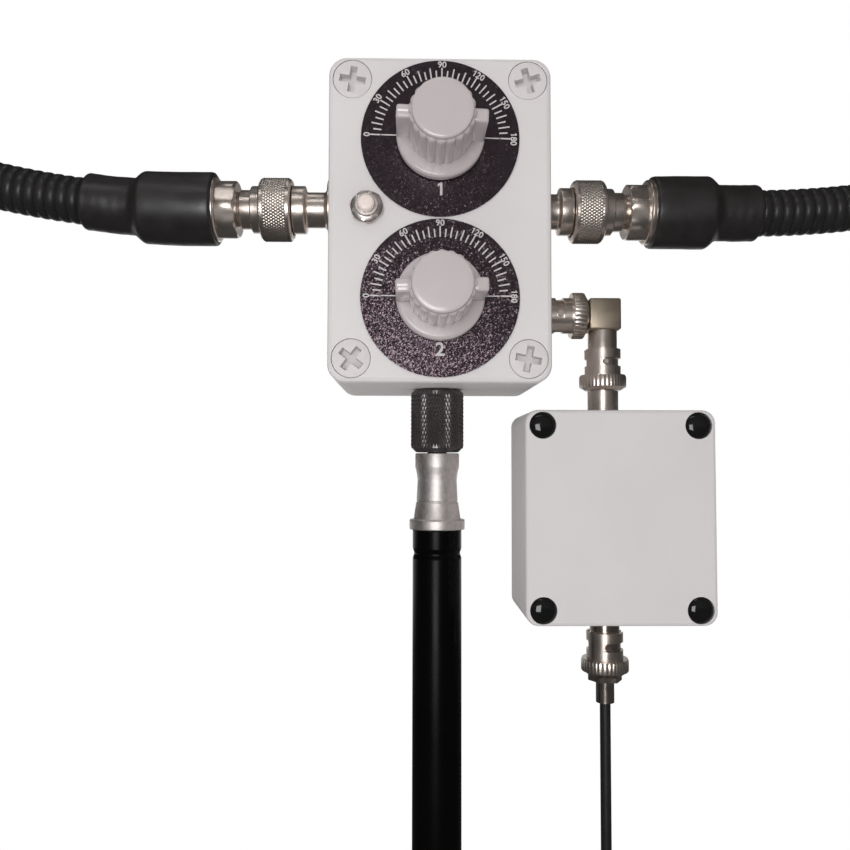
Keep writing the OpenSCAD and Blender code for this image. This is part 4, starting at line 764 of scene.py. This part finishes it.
# Choke box: a smaller moulded box that hangs under the elbow, with a lid of its own, a seal
# and four screws under pressed-in black caps. A wound ferrite ring is inside.
cover_black = finish("gloss_cap", (0.006, 0.006, 0.006), 0.1, spread=0.1, relief=0.02, gloss=0.5)
coax_tan = finish("tan_coax", (0.42, 0.29, 0.15), 0.38)
small_grey = finish("grey_small_moulding", (0.60, 0.583, 0.588), **moulded)
# A darker copy of the satin nickel for the choke's jack and the feed plug: painted shade for the dim space
# below them.
nickel_painted_shade_low = finish("nickel_with_painted_shade", (0.5, 0.43, 0.385), 0.22, spread=0.12, **plated)
dress(small_grey, "choke_case", "choke_lid")
dress(seal_rubber, "choke_gasket")
dress(plain_steel, "choke_screws")
dress(ferrite, "choke_core")
dress(coax_tan, "choke_winding")
dress(nickel, "choke_top_plug", "choke_nuts")
# The jack's darker nickel is painted shade.
dress(nickel_painted_shade_low, "choke_jack")
low, high = span("choke_plugs")
dome_in = 4.0
dome = [(0.0, 0.0), (3.95, 0.0), (3.95, 1.7), (3.7, 2.0), (3.0, 2.4), (2.0, 2.68), (1.0, 2.8), (0.0, 2.83)]
domes = [turned(dome, Matrix.Translation((x, high.y, z)) @ FACE, 40)
         for x in (low.x + dome_in, high.x - dome_in) for z in (low.z + dome_in, high.z - dome_in)]
shape("choke_caps", joined(*domes), cover_black, "choke", ["choke_plugs"], sharp=60)

# Feed plug: a bayonet plug with a flat-sided gland and a short ferrule crimped on the lead.
# Its nickel, like the choke's jack, is painted darker as painted shade from the dim space below.
dress(nickel_painted_shade_low, "feed_plug", "feed_ferrule")

# Feed lead: about 1.5 m of thin black coaxial lead. It hangs from the ferrule and the spare
# length is wound in a small coil under a woven strap, its own plug hanging below.
lead_black = finish("lead_jacket", (0.012, 0.012, 0.012), 0.4, spread=0.2, patch=4, size=0.4, relief=0.15)
strap_weave = finish("woven_strap", (0.025, 0.025, 0.026), 0.75, spread=0.3, patch=1.2, relief=0.8,
                     deep=0.2)
lead_r = 1.75
lead_top, lead_low, lead_bend = 246.0, 197.0, 20.0
coil_in, coil_out, coil_step, layer_turns = 15.625, 26.375, 4.3, 2.5
coil_up, tail_low = 140.0, 110.0
coil_x = elbow_x - coil_out
swing = math.acos(1 - coil_out / (2 * lead_bend))
bend_low = lead_low - 2 * lead_bend * math.sin(swing)
per_drop, per_bend, per_tail, per_turn = 12, 16, 6, 48
route = [(elbow_x, 0.0, lead_top + (lead_low - lead_top) * i / per_drop) for i in range(per_drop)]
for i in range(per_bend + 1):
    turn = swing * i / per_bend
    route.append((elbow_x - lead_bend * (1 - math.cos(turn)), 0.0, lead_low - lead_bend * math.sin(turn)))
for i in range(1, per_bend + 1):
    turn = swing * (1 - i / per_bend)
    route.append((coil_x + lead_bend * (1 - math.cos(turn)), 0.0, bend_low + lead_bend * math.sin(turn)))
route += [(coil_x, 0.0, bend_low + (coil_up - bend_low) * i / per_tail) for i in range(1, per_tail)]
for i in range(int(4 * layer_turns * per_turn) + 1):
    t = i / per_turn
    radius = coil_in + abs(layer_turns - t % (2 * layer_turns)) * coil_step
    k = round(t / layer_turns)
    layer = 0 if k < 1 else 3 if k > 3 else k - 1 + min(1, max(0, 2 * (t - k * layer_turns) + 0.5))
    turn = 2 * math.pi * t
    route.append((elbow_x - radius * math.cos(turn), coil_step * layer, coil_up - radius * math.sin(turn)))
route += [(coil_x, 3 * coil_step, coil_up + (tail_low - coil_up) * i / per_tail)
          for i in range(1, per_tail + 1)]
route = [Vector(p) for p in route]
line = []
for i, spot in enumerate(route):
    ahead = (route[min(i + 1, len(route) - 1)] - route[max(i - 1, 0)]).normalized()
    line.append((spot, ahead, lead_r))
end_r = 0.2
line = [(*line[0][:2], end_r)] + line + [(*line[-1][:2], end_r)]
lead = shape("feed_lead_jacket", sleeve(line, 16), lead_black, "feed", ["feed_lead", "feed_coil"],
             sharp=60)
dress(nickel, "far_plug")
low, high = span("feed_tie")
strap_t = 1.0
band = [(0.0, low.z + 0.4), (0.0, high.z - 0.4), (0.2, high.z), (0.8, high.z), (strap_t, high.z - 0.4),
        (strap_t, low.z + 0.4), (0.8, low.z), (0.2, low.z)]
corner_r, per_corner = 3.5, 8
points = []
for quarter, (x, y) in enumerate(((high.x, high.y), (low.x, high.y), (low.x, low.y), (high.x, low.y))):
    outward = Vector((1 if x == high.x else -1, 1 if y == high.y else -1))
    pivot = Vector((x, y)) - outward * (corner_r + strap_t)
    for i in range(per_corner + 1):
        turn = math.radians(90 * quarter + 90 * i / per_corner)
        out = Vector((math.cos(turn), math.sin(turn)))
        points += [(*(pivot + out * (corner_r + off)), height) for off, height in band]
strap_form = points, bridged(len(points) // len(band), len(band), closed=True)
strap = shape("coil_strap", strap_form, strap_weave, "feed", ["feed_tie"], sharp=50)

# Studio: a pale floor under the mast that fades to plain white and dim surroundings. A soft lamp
# stands in front and to the left with a fill lamp above it, a narrow strip is higher up and a
# small lamp overhead.
scene = bpy.context.scene
floor_half = 8
floor_mesh = bpy.data.meshes.new("floor")
corners = [(x * floor_half, y * floor_half, 0) for x, y in ((-1, -1), (1, -1), (1, 1), (-1, 1))]
floor_mesh.from_pydata(corners, [], [[0, 1, 2, 3]])
floor = bpy.data.objects.new("floor", floor_mesh)
scene.collection.objects.link(floor)
pale = bpy.data.materials.new("pale_floor")
pale.use_nodes = True
tree = pale.node_tree
shader = tree.nodes["Principled BSDF"]
shader.inputs["Base Color"].default_value = (0.93, 0.93, 0.93, 1)
shader.inputs["Roughness"].default_value = 0.8
shader.inputs["Specular IOR Level"].default_value = 0.0
spot = put(tree, "TexCoord", {}).outputs["Object"]
away = put(tree, "VectorMath", {0: spot}, operation="LENGTH").outputs["Value"]
depth = put(tree, "SeparateXYZ", {0: spot}).outputs["Y"]
fade = put(tree, "MapRange", {"Value": away, "From Min": 0.1, "From Max": 0.4},
           interpolation_type="SMOOTHSTEP")
behind = put(tree, "MapRange", {"Value": depth, "From Min": 0.8, "From Max": 2.0, "To Min": 0.06,
                                "To Max": 1.0}, interpolation_type="SMOOTHSTEP")
path = put(tree, "LightPath", {}).outputs
mirrored = put(tree, "Math", {0: path["Is Glossy Ray"], 1: path["Is Transmission Ray"]},
               operation="MAXIMUM").outputs[0]
white = put(tree, "Emission", {"Color": (1, 1, 1, 1), "Strength": 1.0}).outputs[0]
glimpse = put(tree, "Emission", {"Color": (1, 1, 1, 1), "Strength": behind.outputs[0]}).outputs[0]
seen = put(tree, "Math", {0: path["Is Camera Ray"], 1: fade.outputs[0]}, operation="MULTIPLY").outputs[0]
mixed = put(tree, "MixShader", {0: seen, 1: shader.outputs[0], 2: white}).outputs[0]
mixed = put(tree, "MixShader", {0: mirrored, 1: mixed, 2: glimpse}).outputs[0]
tree.links.new(mixed, tree.nodes["Material Output"].inputs["Surface"])
floor_mesh.materials.append(pale)

world = bpy.data.worlds.new("studio")
scene.world = world
world.use_nodes = True
tree = world.node_tree
path = put(tree, "LightPath", {}).outputs
toward = put(tree, "TexCoord", {}).outputs["Generated"]
part = put(tree, "SeparateXYZ", {0: toward}).outputs
front = put(tree, "MapRange", {"Value": part["Y"], "From Min": -0.3, "From Max": -1.0, "To Min": 0.04,
                               "To Max": 0.18})
back = put(tree, "MapRange", {"Value": part["Y"], "From Min": 0.9, "From Max": 0.98},
           interpolation_type="SMOOTHSTEP")
mirrored = put(tree, "Math", {0: path["Is Glossy Ray"], 1: path["Is Transmission Ray"]},
               operation="MAXIMUM").outputs[0]
behind = put(tree, "Math", {0: mirrored, 1: back.outputs[0]}, operation="MULTIPLY").outputs[0]
whole = put(tree, "Math", {0: path["Is Camera Ray"], 1: behind}, operation="MAXIMUM").outputs[0]
around = put(tree, "Mix", {0: mirrored, 2: 0.5, 3: front.outputs[0]}).outputs[0]
studio = put(tree, "Background", {"Color": (1.0, 0.96, 0.94, 1), "Strength": around}).outputs[0]
clear = put(tree, "Background", {"Color": (1, 1, 1, 1), "Strength": 1.0}).outputs[0]
mixed = put(tree, "MixShader", {0: whole, 1: studio, 2: clear}).outputs[0]
tree.links.new(mixed, tree.nodes["World Output"].inputs["Surface"])

aim = Vector((0, 0, 0.38))
for name, spot, power, wide, tall, reflected in (
    ("front_lamp", (-0.11, -0.75, 0.27), 1.8, 0.28, 0.3, True),
    ("fill_lamp", (-0.15, -0.8, 0.5), 1.0, 0.48, 0.4, False),
    ("strip_lamp", (-0.2, -0.5, 1.0), 0.45, 0.6, 0.05, True),
    ("top_lamp", (-0.1, 0.0, 1.5), 0.42, 0.28, 0.28, True),
):
    lamp = bpy.data.lights.new(name, "AREA")
    lamp.shape = "RECTANGLE"
    lamp.size, lamp.size_y, lamp.energy = wide, tall, power
    holder = bpy.data.objects.new(name, lamp)
    facing = (aim - Vector(spot)).to_track_quat("-Z", "Y").to_matrix().to_4x4()
    holder.matrix_world = Matrix.Translation(spot) @ facing
    holder.visible_glossy = reflected
    scene.collection.objects.link(holder)

# Camera: a quarter of a metre in front of the tuner box and below its middle, as for a close
# photograph of the fittings.
lens = bpy.data.cameras.new("camera")
lens.sensor_width = 36.0
lens.lens = 34.86
lens.clip_start = 0.01
eye = bpy.data.objects.new("camera", lens)
stand = Matrix.Translation((-0.00871, -0.27127, 0.32362))
for axis, degrees in (("X", 2.6416), ("Y", -0.1559), ("Z", -0.9875), ("X", 90)):
    stand = stand @ Matrix.Rotation(math.radians(degrees), 4, axis)
eye.matrix_world = stand
scene.collection.objects.link(eye)
scene.camera = eye
scene.view_settings.view_transform = "Standard"
